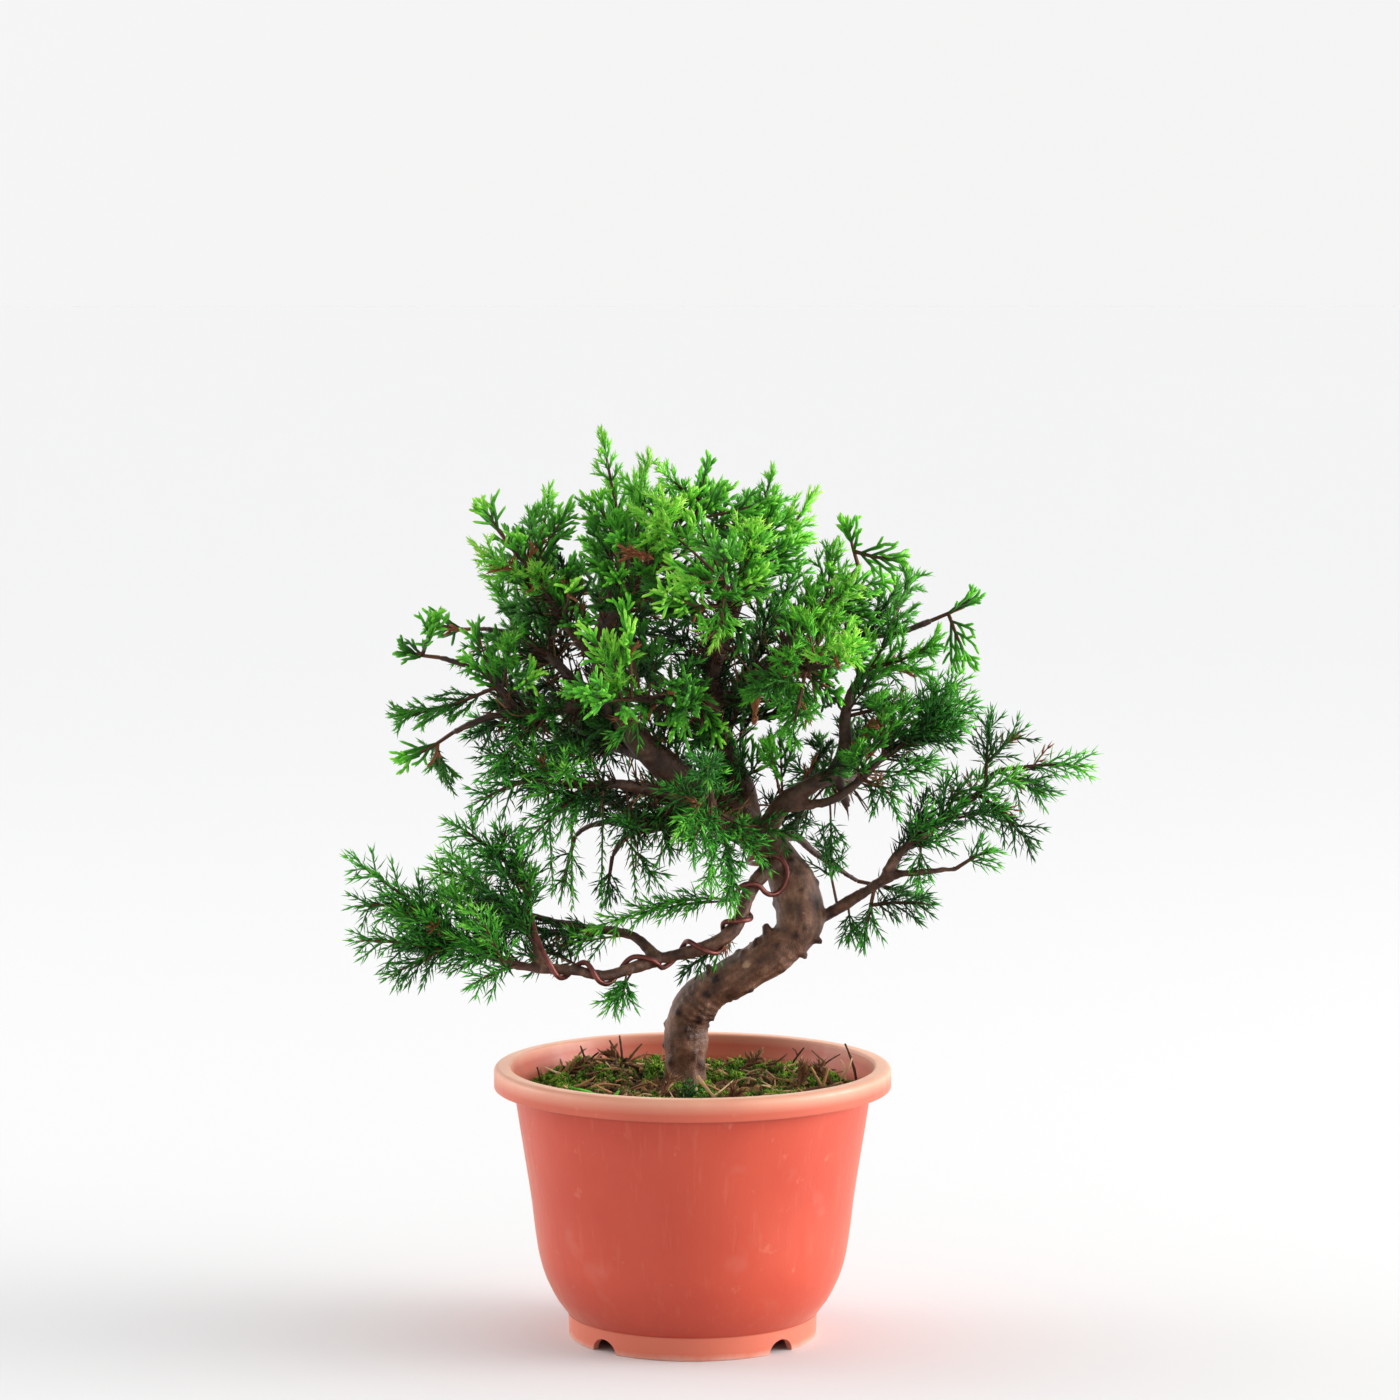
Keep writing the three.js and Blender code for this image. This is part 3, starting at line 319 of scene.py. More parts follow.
def stem_line(root, tip, sweep):
    """A stem that leaves its limb and bends to its tip; sweep lifts or lowers its middle."""
    root, tip = np.asarray(root, float), np.asarray(tip, float)
    middle = (root + tip) / 2 + UP * sweep * np.linalg.norm(tip - root)
    t = np.linspace(0, 1, 30)[:, None]
    return Line((1 - t) ** 2 * root + 2 * t * (1 - t) * middle + t**2 * tip)


LINES = {"trunk": trunk_line(), **{name: limb_line(*limb) for name, limb in LIMBS.items()}}


# Meshes


class Shape:
    """Gathers points and faces for one mesh, with an age and a tone at each point."""

    def __init__(self):
        self.points, self.ages, self.tones = [], [], []
        self.triangles, self.quads = [], []
        self.size = 0

    def add(self, points, triangles, quads, age, tone):
        rows = np.asarray(points, float).reshape(-1, 3)
        self.points.append(rows)
        self.ages.append(np.broadcast_to(age, len(rows)))
        self.tones.append(np.broadcast_to(tone, len(rows)))
        if len(triangles):
            self.triangles.append(np.asarray(triangles).reshape(-1, 3) + self.size)
        if len(quads):
            self.quads.append(np.asarray(quads).reshape(-1, 4) + self.size)
        self.size += len(rows)


def perpendicular(directions):
    """A unit vector square to each direction."""
    steep = np.abs(directions[..., 2:]) > 0.9
    return unit(np.cross(np.where(steep, EAST, UP), directions))


def carried_across(along):
    """A direction square to each line at each station, carried along without spinning."""
    across = perpendicular(along[:, 0])
    kept = []
    for way in along.swapaxes(0, 1):
        across = unit(across - (across * way).sum(1, keepdims=True) * way)
        kept.append(across)
    return np.stack(kept, 1)


def rings_along(centres, radii, sides, twist):
    """Rings of points round each tube's stations."""
    along = unit(np.gradient(centres, axis=1))
    across = carried_across(along)[:, :, None]
    third = np.cross(along[:, :, None], across)
    turn = 2 * np.pi * np.arange(sides) / sides + twist * np.arange(radii.shape[1])[:, None]
    round_it = np.cos(turn)[..., None] * across + np.sin(turn)[..., None] * third
    return centres[:, :, None] + radii[:, :, None, None] * round_it


def add_tubes(shape, centres, radii, sides, ages, tones, twist=0.0, capped=True):
    """Adds pointed tubes. centres is (tubes, stations, 3); radii and ages are (tubes,
    stations), and the last station is the point. tones is one number for each tube."""
    count, stations = radii.shape
    rings = rings_along(centres, radii, sides, twist)[:, :-1]
    flat = rings.reshape(count, -1, 3)
    points = np.concatenate([flat, centres[:, -1:]], axis=1)
    each = points.shape[1]
    k = np.arange(sides)
    after = (k + 1) % sides
    faces = []
    for i in range(stations - 2):
        low, high = i * sides, (i + 1) * sides
        faces.append(np.stack([low + k, low + after, high + k], 1))
        faces.append(np.stack([low + after, high + after, high + k], 1))
    last = (stations - 2) * sides
    faces.append(np.stack([last + k, last + after, np.full(sides, each - 1)], 1))
    if capped:
        fan = np.arange(1, sides - 1)
        faces.append(np.stack([np.zeros_like(fan), fan + 1, fan], 1))
    faces = np.vstack(faces)
    offsets = np.arange(count)[:, None, None] * each
    age = np.concatenate([np.repeat(ages[:, :-1], sides, axis=1), ages[:, -1:]], axis=1)
    spread = np.tile(0.05 * np.cos(2 * np.pi * k / sides), stations - 1)
    tone = tones[:, None] + np.append(spread, 0.0)[None, :]
    shape.add(points, faces[None] + offsets, (), age.ravel(), tone.ravel())


def mesh_from(name, shape):
    mesh = bpy.data.meshes.new(name)
    points = np.vstack(shape.points) * MM + POT_AXIS
    triangles = np.vstack(shape.triangles) if shape.triangles else np.empty((0, 3), int)
    quads = np.vstack(shape.quads) if shape.quads else np.empty((0, 4), int)
    corners = np.concatenate([triangles.ravel(), quads.ravel()]).astype(np.int32)
    starts = np.concatenate([3 * np.arange(len(triangles)),
                             3 * len(triangles) + 4 * np.arange(len(quads))])
    mesh.vertices.add(len(points))
    mesh.vertices.foreach_set("co", points.ravel().astype(np.float32))
    mesh.loops.add(len(corners))
    mesh.loops.foreach_set("vertex_index", corners)
    mesh.polygons.add(len(starts))
    mesh.polygons.foreach_set("loop_start", starts.astype(np.int32))
    mesh.polygons.foreach_set("use_smooth", np.ones(len(starts), bool))
    mesh.update(calc_edges=True)
    for label, rows in (("age", shape.ages), ("tone", shape.tones)):
        set_numbers(mesh, label, np.concatenate(rows))
    return mesh


def set_numbers(mesh, label, values):
    layer = mesh.attributes.get(label) or mesh.attributes.new(label, "FLOAT", "POINT")
    layer.data.foreach_set("value", np.asarray(values, np.float32))


def add_bake_map(mesh, ages, tones):
    """Lays the mesh out by age and tone, which are all that its colour depends on."""
    corner = np.empty(len(mesh.loops), np.int32)
    mesh.loops.foreach_get("vertex_index", corner)
    places = np.stack([ages[corner], tones[corner]], 1).clip(0.01, 0.99)
    layer = mesh.uv_layers.new(name="OFBake")
    layer.uv.foreach_set("vector", places.astype(np.float32).ravel())


def show(name, mesh, material, slot, *replaced):
    """Puts a mesh in the scene as a piece of the object."""
    piece = bpy.data.objects.new(name, mesh)
    bpy.context.scene.collection.objects.link(piece)
    mesh.materials.append(material)
    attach(piece, "root")
    if replaced:
        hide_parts(*replaced)


def show_by_tone(name, shape, material, slot, *replaced):
    mesh = mesh_from(name, shape)
    add_bake_map(mesh, np.concatenate(shape.ages), np.concatenate(shape.tones))
    show(name, mesh, material, slot, *replaced)


def evaluated(piece_mesh, make_modifiers):
    """A mesh with modifiers applied."""
    holder = bpy.data.objects.new("holder", piece_mesh)
    bpy.context.scene.collection.objects.link(holder)
    make_modifiers(holder)
    graph = bpy.context.evaluated_depsgraph_get()
    made = bpy.data.meshes.new_from_object(holder.evaluated_get(graph))
    bpy.data.objects.remove(holder)
    bpy.data.meshes.remove(piece_mesh)
    return made


def points_of(mesh):
    points = np.empty(len(mesh.vertices) * 3, np.float32)
    mesh.vertices.foreach_get("co", points)
    return points.reshape(-1, 3).astype(float)


# Materials


def srgb(red, green, blue):
    """A colour as it is seen, from 0 to 255, as linear numbers."""
    shares = np.array([red, green, blue]) / 255
    linear = np.where(shares <= 0.04045, shares / 12.92, ((shares + 0.055) / 1.055) ** 2.4)
    return (*linear, 1.0)


class Nodes:
    """A node tree, with short ways to make and join its nodes."""

    def __init__(self, tree):
        self.tree = tree

    def node(self, kind, *values, **settings):
        """A new node. Values go to its sockets in their order: constants or outputs."""
        made = self.tree.nodes.new(kind)
        for label, value in settings.items():
            setattr(made, label, value)
        sockets = [socket for socket in made.inputs if not socket.is_unavailable]
        for value, socket in zip(values, sockets):
            self.feed(value, socket)
        return made

    def feed(self, value, socket):
        if isinstance(value, (tuple, float, int)):
            socket.default_value = value
        else:
            self.tree.links.new(value, socket)

    def math(self, operation, first, second):
        return self.node("ShaderNodeMath", first, second, operation=operation).outputs["Value"]

    def product(self, value, *others):
        for other in others:
            value = self.math("MULTIPLY", value, other)
        return value

    def between(self, operation, first, second):
        """A number from two vectors."""
        made = self.node("ShaderNodeVectorMath", first, second, operation=operation)
        return made.outputs["Value"]

    def axis(self, vector, label):
        return self.node("ShaderNodeSeparateXYZ", vector).outputs[label]

    def span(self, source, low, high, to_low=0.0, to_high=1.0):
        """A number moved from one span to another, and held inside it."""
        made = self.node("ShaderNodeMapRange", source, low, high, to_low, to_high)
        return made.outputs["Result"]


class Look(Nodes):
    """A material with one shader, and its textures. Colours are given as they are seen."""

    def __init__(self, name, roughness, **constants):
        self.material = bpy.data.materials.new(name)
        self.material.use_nodes = True
        super().__init__(self.material.node_tree)
        self.shader = self.tree.nodes["Principled BSDF"]
        for label, value in {"Roughness": roughness, **constants}.items():
            self.set(label.replace("_", " "), value)

    def set(self, label, value):
        self.feed(value, self.shader.inputs[label])

    def number(self, label):
        """A number that the mesh has at each point."""
        return self.node("ShaderNodeAttribute", attribute_name=label).outputs["Fac"]

    def place(self, *scale):
        """The place on the object in metres, scaled along each axis if scale is given."""
        place = self.node("ShaderNodeTexCoord").outputs["Object"]
        if not scale:
            return place
        made = self.node("ShaderNodeMapping", place)
        made.inputs["Scale"].default_value = scale
        return made.outputs["Vector"]

    def grain(self, scale, detail=3.0, rough=0.55, place=None):
        """Noise with features of about 1 / scale metres."""
        place = self.place() if place is None else place
        return self.node("ShaderNodeTexNoise", place, scale, detail, rough).outputs["Fac"]

    def ramp(self, source, *stops):
        """Colours along a number, with each stop's place before its colour."""
        made = self.node("ShaderNodeValToRGB", source)
        elements = made.color_ramp.elements
        while len(elements) < len(stops):
            elements.new(0.5)
        for element, (position, *colour) in zip(elements, stops):
            element.position = position
            element.color = srgb(*colour)
        return made.outputs["Color"]

    def blend(self, share, first, second, mode="MIX"):
        made = self.node("ShaderNodeMix", share, first, second, data_type="RGBA",
                         blend_type=mode)
        return made.outputs["Result"]

    def layered(self, colour, *layers):
        """A colour with others laid over it, with each one's share before its colour."""
        for share, *over in layers:
            colour = self.blend(share, colour, srgb(*over))
        return colour

    def bump(self, height, depth):
        made = self.node("ShaderNodeBump")
        self.feed(depth, made.inputs["Distance"])
        self.feed(height, made.inputs["Height"])
        self.set("Normal", made.outputs["Normal"])


def pot_look():
    """Plastic with dust, scuffs and streaks, a painted shadow under the rim, painted shade low
    down and painted light on the inner wall. Heights and reaches are in metres.
    """
    look = Look("terracotta_plastic", 0.42, Sheen_Weight=0.3, Sheen_Roughness=0.35,
                Sheen_Tint=(1.0, 0.84, 0.6, 1.0))
    body = look.ramp(look.grain(22, 4), (0.3, 196, 66, 42), (0.7, 208, 78, 52))
    streaks = look.grain(3.0, 5, 0.6, look.place(90, 90, 7))
    spots, clouds = look.grain(110, 5, 0.62), look.grain(38)
    z = look.axis(look.place(), "Z")
    out = look.between("DISTANCE", look.place(1, 1, 0), tuple(POT_AXIS))
    # The wall's inner and outer sides lie on either side of one leaning line
    upright = look.math("ADD", out, look.product(z, -WALL_LEAN))
    inner_side = look.span(upright, 0.0527, 0.052, 0.0, 0.5)
    outer_side = look.span(upright, 0.052, 0.0527)
    below_rim = look.span(z, 0.0955, 0.094)
    run_down = look.product(look.span(streaks, 0.56, 0.8, 0.0, 0.28), below_rim)
    rim_top = look.product(look.span(z, 0.0972, 0.1014, 0.0, 0.8),
                           look.span(clouds, 0.2, 0.8, 0.75, 1.2),
                           look.span(out, 0.0678, 0.0688))
    # Painted light: the inner wall below the rim is made paler, as where light falls into the pot
    painted_light_inner_wall = look.product(inner_side, look.span(z, 0.086, 0.09))
    # Painted shadow: a thin dark line on the outer wall just under the rim
    painted_rim_shadow = look.product(look.span(z, 0.0922, 0.0942, 0.0, 0.5),
                             look.span(z, 0.0949, 0.0947), outer_side)
    foot_edge = look.math("ADD", z, look.product(spots, 0.004))
    look.set("Base Color", look.layered(
        body,
        (run_down, 222, 134, 104),
        (look.span(spots, 0.64, 0.78, 0.0, 0.42), 226, 150, 124),
        (look.span(clouds, 0.62, 0.8, 0.0, 0.22), 214, 152, 136),
        (look.span(z, 0.0944, 0.0952, 0.0, 0.22), 226, 150, 122),
        (rim_top, 232, 170, 142),
        (painted_light_inner_wall, 236, 132, 104),
        (painted_rim_shadow, 120, 34, 20),
        # Painted shade: the wall is made darker towards the foot
        (look.span(z, 0.032, 0.011, 0.0, 0.42), 160, 48, 29),
        (look.span(z, 0.0092, 0.0086, 0.0, 0.85), 220, 120, 94),
        (look.span(foot_edge, 0.0045, 0.0015, 0.0, 0.75), 226, 186, 170)))
    look.set("Roughness", look.span(streaks, 0.3, 0.75, 0.36, 0.56))
    look.bump(look.grain(900, 2), 0.00004)
    return look.material


def wood_look():
    look = Look("juniper_bark", 0.5, Specular_IOR_Level=0.4)
    grain, fine = look.number("tone"), look.grain(700)
    twigs = look.ramp(grain, (0.1, 48, 27, 20), (0.5, 82, 51, 39), (0.9, 128, 88, 70))
    trunk = look.ramp(grain, (0.05, 46, 29, 22), (0.4, 112, 77, 58), (0.6, 137, 97, 75),
                      (0.95, 184, 144, 116))
    bark = look.layered(
        look.blend(look.span(look.number("age"), 0.12, 0.5), twigs, trunk),
        (look.span(look.grain(130, 5, 0.6), 0.48, 0.66, 0.0, 0.55), 46, 30, 23),
        (look.span(look.grain(75), 0.5, 0.7, 0.0, 0.4), 124, 78, 56),
        (look.span(look.grain(60, 4), 0.62, 0.76, 0.0, 0.3), 84, 86, 54))
    rough = look.blend(look.span(fine, 0.35, 0.7, 0.0, 0.42), bark, srgb(60, 44, 34), "MULTIPLY")
    # Painted shade: the wood is made darker higher up, where it lies inside the crown
    painted_crown_shade = look.span(look.axis(look.place(), "Z"), 0.186, 0.214, 0.0, 0.5)
    look.set("Base Color", look.layered(rough, (painted_crown_shade, 44, 29, 22),
                                        (look.number("scar"), 196, 160, 126)))
    look.bump(look.math("ADD", fine, look.grain(1900, 2)), 0.0003)
    return look.material


def leaf_look(name, roughness, greens, dry):
    """Green from the shoots' dark roots to their young tips, with the painted light and shade that
    their ages carry, and dry at the highest tones.
    """
    look = Look(name, roughness, Specular_IOR_Level=0.22)
    tone = look.number("tone")
    shade = look.product(look.span(tone, 0.0, 0.85, 0.7, 1.2),
                         look.span(look.grain(500, 2), 0.3, 0.7, 0.86, 1.1))
    grey = look.node("ShaderNodeCombineColor", shade, shade, shade).outputs["Color"]
    green = look.blend(1.0, look.ramp(look.number("age"), *greens), grey, "MULTIPLY")
    look.set("Base Color", look.layered(green, (look.span(tone, 0.9, 0.93), *dry)))
    return look.material


def dull_look(name, *stops):
    """Bare twigs and dry litter, which are coloured by tone alone."""
    look = Look(name, 0.85, Specular_IOR_Level=0.25)
    look.set("Base Color", look.ramp(look.number("tone"), *stops))
    return look.material


def moss_look():
    """Green moss where the tone is high, and litter and soil where it is low."""
    look = Look("moss", 0.9, Specular_IOR_Level=0.2)
    age = look.number("age")
    green = look.ramp(age, (0.05, 32, 40, 15), (0.45, 78, 114, 30), (0.95, 158, 198, 62))
    soil = look.ramp(age, (0.05, 40, 28, 20), (0.5, 116, 86, 55), (0.95, 192, 152, 106))
    look.set("Base Color", look.blend(look.span(look.number("tone"), 0.42, 0.58), soil, green))
    return look.material


def soil_look():
    look = Look("potting_soil", 0.95, Specular_IOR_Level=0.2)
    crumbs = look.grain(420, 5, 0.7)
    look.set("Base Color", look.ramp(crumbs, (0.3, 34, 25, 18), (0.55, 74, 54, 38),
                                     (0.8, 122, 94, 66)))
    look.bump(crumbs, 0.001)
    return look.material


def wire_look():
    look = Look("coated_wire", 0.38, Metallic=0.65)
    tarnish = look.grain(260, 4)
    look.set("Base Color", look.ramp(tarnish, (0.3, 92, 46, 41), (0.7, 136, 76, 68)))
    look.set("Roughness", look.span(tarnish, 0.3, 0.75, 0.3, 0.5))
    return look.material


def make_looks():
    return {
        "scale": leaf_look("scale_leaves", 0.45, (
            (0.02, 40, 32, 20), (0.12, 24, 48, 17), (0.3, 50, 118, 32), (0.55, 96, 194, 48),
            (0.8, 156, 236, 74), (0.99, 200, 250, 106)), (140, 84, 52)),
        "needle": leaf_look("needle_leaves", 0.48, (
            (0.02, 42, 34, 24), (0.12, 24, 52, 20), (0.3, 46, 118, 38), (0.55, 86, 188, 54),
            (0.8, 142, 230, 78), (0.99, 190, 246, 106)), (138, 86, 56)),
        "twig": dull_look("bare_twigs", (0.0, 60, 38, 30), (0.4, 96, 62, 46),
                          (0.75, 134, 90, 64), (1.0, 172, 128, 92)),
        "litter": dull_look("dry_litter", (0.0, 46, 32, 24), (0.3, 116, 80, 53),
                            (0.6, 188, 138, 92), (1.0, 234, 204, 160)),
    }


# Pot


def arc(centre, radius, start, end, steps):
    """Points of an arc in the pot's profile; angles in degrees from outward."""
    turns = np.radians(np.linspace(start, end, steps + 1))
    return [(centre[0] + radius * math.cos(t), centre[1] + radius * math.sin(t)) for t in turns]


def pot_profile():
    """The pot's outline from the middle of its underside, round the outside and back."""
    outside = Line(smooth_points([(r, 0, z) for r, z in WALL_LINE]))
    wall = [(p[0], p[2]) for p in outside.at(np.linspace(0, 1, 28))]
    inside = [(r - WALL, z) for r, z in wall if z > FLOOR_TOP + 4]
    lip, band = RIM_RADIUS - 6.5, RIM_TOP - RIM_BAND
    return [
        (0.001, FLOOR_UNDERSIDE),
        (FOOT_RADIUS - FOOT_WALL, FLOOR_UNDERSIDE),
        *arc((FOOT_RADIUS - FOOT_WALL + 0.5, 0.5), 0.5, 180, 270, 3),
        *arc((FOOT_RADIUS - 0.7, 0.7), 0.7, -90, 0, 4),
        (FOOT_RADIUS + 0.15, FOOT_HEIGHT - 1.1),
        *arc((FOOT_RADIUS + 0.7, FOOT_HEIGHT - 0.5), 0.5, 180, 90, 3),
        *wall,
        (67.9, 95.4), (68.9, 97.6), (70.3, 99.6), (72.2, RIM_TOP - WALL - 0.2),
        (RIM_RADIUS - WALL - 0.2, RIM_TOP - WALL - 1.4),
        *arc((RIM_RADIUS - WALL + 0.4, band + 0.5), 0.5, 180, 270, 3),
        *arc((RIM_RADIUS - 0.6, band + 0.6), 0.6, -90, 0, 3),
        *arc((RIM_RADIUS - 2.0, RIM_TOP - 2.0), 2.0, 0, 90, 8),
        *arc((lip + 1.2, RIM_TOP - 1.2), 1.2, 90, 180, 6),
        (lip - 0.3, RIM_TOP - 3.2),
        *inside[::-1],
        (FLOOR_RADIUS + 1.2, FLOOR_TOP + 1.1),
        (FLOOR_RADIUS - 0.6, FLOOR_TOP),
        (0.001, FLOOR_TOP),
    ]


def turned(profile, sides):
    """A closed profile turned about the pot's axis."""
    shape = Shape()
    rows = np.array(profile)
    turns = 2 * np.pi * np.arange(sides) / sides
    points = np.stack([rows[:, None, 0] * np.cos(turns), rows[:, None, 0] * np.sin(turns),
                       np.repeat(rows[:, 1:2], sides, 1)], -1)
    k = np.arange(sides)
    after = (k + 1) % sides
    quads = [np.stack([i * sides + k, i * sides + after, (i + 1) * sides + after,
                       (i + 1) * sides + k], 1) for i in range(len(rows) - 1)]
    top = (len(rows) - 1) * sides
    quads.append(np.stack([top + k, top + after, after, k], 1))
    shape.add(points, (), np.vstack(quads), 0.5, 0.5)
    return shape


def cutter(outline, low, high, turn=None):
    """A prism of an outline in two directions; turn sets the direction that it runs in."""
    shape = Shape()
    n = len(outline)
    flat = np.array(outline)
    rings = []
    for depth in (low, high):
        if turn is None:
            rings.append(np.column_stack([flat, np.full(n, depth)]))
        else:
            outward = np.array([math.cos(turn), math.sin(turn), 0.0])
            sideways = np.array([-math.sin(turn), math.cos(turn), 0.0])
            rings.append(outward * depth + flat[:, :1] * sideways + flat[:, 1:] * UP)
    k = np.arange(n)
    after = (k + 1) % n
    fan = np.arange(1, n - 1)
    triangles = np.vstack([
        np.stack([np.zeros_like(fan), fan + 1, fan], 1),
        np.stack([np.full_like(fan, n), n + fan, n + fan + 1], 1),
    ])
    shape.add(np.vstack(rings), triangles, np.stack([k, after, n + after, n + k], 1), 0, 0)
    return shape


def build_pot():
    """The pot, with notches cut into its foot and drain holes through its floor."""
    half = NOTCH_WIDTH / 2
    arch = [(-half, -1.0), (half, -1.0)]
    arch += [(half * math.cos(t), NOTCH_HEIGHT * math.sin(t)) for t in np.linspace(0, np.pi, 17)]
    cutters = [cutter(arch, FOOT_RADIUS - 7, FOOT_RADIUS + 5, math.pi / 4 + turn)
               for turn in QUARTERS]
    circle = 2 * np.pi * np.arange(32) / 32
    for reach, turn in [(0, 0), *((DRAIN_CIRCLE, turn) for turn in QUARTERS)]:
        x, y = reach * math.cos(turn), reach * math.sin(turn)
        hole = [(x + DRAIN_RADIUS * math.cos(t), y + DRAIN_RADIUS * math.sin(t)) for t in circle]
        cutters.append(cutter(hole, FLOOR_UNDERSIDE - 2, FLOOR_TOP + 2))

    def cut(holder):
        for shape in cutters:
            tool = bpy.data.objects.new("cutter", mesh_from("cutter", shape))
            bpy.context.scene.collection.objects.link(tool)
            modifier = holder.modifiers.new("cut", "BOOLEAN")
            modifier.operation, modifier.solver, modifier.object = "DIFFERENCE", "EXACT", tool

    mesh = evaluated(mesh_from("pot_shell", turned(pot_profile(), POT_SIDES)), cut)
    for tool in [o for o in bpy.data.objects if o.name.startswith("cutter")]:
        bpy.data.objects.remove(tool)
    mesh.set_sharp_from_angle(angle=math.radians(42))
    show("pot_shell", mesh, pot_look(), "pot_plastic", "pot")


# Wood

STUB_RADII = np.array([2.6, 2.4, 2.1, 1.9, 1.7, 1.5, 1.2])
KNOBS = 60
BARK_VOXEL = 0.0008  # metres


def swollen(line, share):
    """A limb's radius with the small swellings of knots and bends."""
    where = np.asarray(share) * line.length
    knots = 0.05 * np.sin(where / 6.1 + line.length) + 0.04 * np.sin(where / 2.7)
    return line.radius(share) * (1 + knots)


def wood_rods():
    """The trunk, limbs and stubs as points and radii."""
    rods = []
    for name, line in LINES.items():
        shares = np.linspace(0, 1, max(8, int(line.length / 1.6)))
        radii = swollen(line, shares) * (0.9 if name == "low_left" else 1) + 0.1
        if name != "trunk":
            radii += 0.35 * line.radius(0) * np.exp(-shares * line.length / 3.5)
        rods.append((line.at(shares), radii))
    for root, end in STUBS:
        shares = np.linspace(0, 0.86, len(STUB_RADII))[:, None]
        rods.append((mix(np.array(root), np.array(end), shares), STUB_RADII))
    return rods


def rod_samples(rods):
    """Places along the rods: middles, the three directions there, run and radius."""
    rows = []
    for number, (points, radii) in enumerate(rods):
        along = unit(np.gradient(points, axis=0))
        across = carried_across(along[None])[0]
        run = Line(points).run + 37 * number
        rows.append((points, along, across, np.cross(along, across), run, radii))
    return [np.concatenate(column) for column in zip(*rows)]


def nearest_rod(points, middles, sizes, batch=4000):
    """For each point, the sample whose round surface it is nearest to."""
    nearest = np.empty(len(points), int)
    for start in range(0, len(points), batch):
        part = slice(start, start + batch)
        gaps = np.linalg.norm(points[part, None] - middles[None], axis=2) - sizes[None]
        nearest[part] = gaps.argmin(1)
    return nearest


def trunk_knobs():
    """Small dark knobs on the trunk, where buds and shoots were rubbed off."""
    random = np.random.default_rng(11)
    trunk = LINES["trunk"]
    shares = random.uniform(0.1, 0.5, KNOBS)
    middles, along = trunk.at(shares), trunk.direction(shares)
    across = perpendicular(along)
    turns = random.uniform(0, 2 * np.pi, (KNOBS, 1))
    out = np.cos(turns) * across + np.sin(turns) * np.cross(along, across)
    return middles + out * trunk.radius(shares)[:, None], random.uniform(0.8, 1.7, KNOBS)


def hills(points, middles, reaches):
    """The highest of several round hills at each point, from 0 to 1."""
    far = np.linalg.norm(points[:, None] - np.asarray(middles, float)[None], axis=2)
    return np.exp(-(far / np.asarray(reaches)[None]) ** 2).max(1)


def rough(rows):
    """Noise at each place, from about -1 to 1."""
    return np.array([noise.noise(Vector(row)) for row in rows])


def bark_relief(points, rods):
    """How far each point moves out, and its grain, girth and scar."""
    middles, along, across, third, runs, sizes = rod_samples(rods)
    near = nearest_rod(points, middles, sizes)
    off = points - middles[near]
    x, y, s = ((off * way[near]).sum(1) for way in (across, third, along))
    s += runs[near]
    thick = np.minimum(1, sizes[near] / 8)
    fibres = rough(np.stack([x / 1.3, y / 1.3, s / 8], 1))
    plates = rough(np.stack([x / 4 + 9, y / 4 + 4, s / 6 + 7], 1))
    knobs, knob_sizes = trunk_knobs()
    knob = hills(points, knobs, knob_sizes)
    creased = hills(points, [row[:3] for row in CREASES], [row[3] for row in CREASES])
    ridges = creased * np.sin(s * 2.1 + 3.5 * plates + x * 0.3)
    scars = np.array(SCARS)
    far = np.linalg.norm(points[:, None] - scars[None, :, :3], axis=2) + 0.5 * fibres[:, None]
    scar = (1.2 - far / scars[None, :, 3]).max(1).clip(0, 0.25) * 4
    lumps = rough(points / 2.1 + 3.7) * (1 - 0.75 * thick)
    moves = (0.09 + 0.03 * thick) * fibres + 0.3 * thick * plates + 0.3 * ridges + 1.0 * knob
    moves += 0.42 * lumps
    grain = 0.5 + 0.2 * fibres + 0.4 * plates + 0.14 * ridges - 0.5 * knob + 0.3 * lumps
    return moves, grain.clip(0, 1), np.minimum(1, sizes[near] / 9), scar


def build_wood():
    """The trunk and limbs fused into one skin, with the bark's relief on it."""
    rods = wood_rods()
    shape = Shape()
    for points, radii in rods:
        tail = points[-1] + unit(points[-1] - points[-2]) * radii[-1] * 0.5
        head = points[0] - unit(points[1] - points[0]) * 0.3
        centres = np.vstack([head, points, tail])[None]
        all_radii = np.concatenate([[radii[0] * 0.7], radii, [0.0]])[None]
        add_tubes(shape, centres, all_radii, 16, np.zeros_like(all_radii), np.zeros(1))

    def remesh(holder):
        voxels = holder.modifiers.new("fuse", "REMESH")
        voxels.mode, voxels.voxel_size = "VOXEL", BARK_VOXEL
        smooth = holder.modifiers.new("smooth", "SMOOTH")
        smooth.factor, smooth.iterations = 0.5, 3

    mesh = evaluated(mesh_from("tree_bark", shape), remesh)
    points = points_of(mesh)
    normals = np.empty(len(points) * 3, np.float32)
    mesh.vertex_normals.foreach_get("vector", normals)
    moves, grains, girths, scars = bark_relief((points - POT_AXIS) / MM, rods)
    moved = points + normals.reshape(-1, 3) * moves[:, None] * MM
    mesh.vertices.foreach_set("co", moved.astype(np.float32).ravel())
    mesh.polygons.foreach_set("use_smooth", np.ones(len(mesh.polygons), bool))
    mesh.update()
    for label, values in (("age", girths), ("tone", grains), ("scar", scars)):
        set_numbers(mesh, label, values)
    show("tree_bark", mesh, wood_look(), "bark", "tree_wood")


# Foliage

DRY_SHARE = 0.07
DRY_TONE = 0.97
CORD_STATIONS = np.array([0, 0.4, 0.82, 1.0])
CORD_SWELL = np.array([0.85, 1.0, 0.88, 0.0])
FINGER_GAP = 4.6
FINGER_LEAN = 34
SHORTEST_FINGER = 3.4
LONGEST_FINGER = 9.0
SPIKE_WIDTH = 0.5
SPIKE_GAP = 2.0
NEEDLE_WIDTH = 0.45
NEEDLE_DEPTH = 0.28
NEEDLE_GAP = 2.6

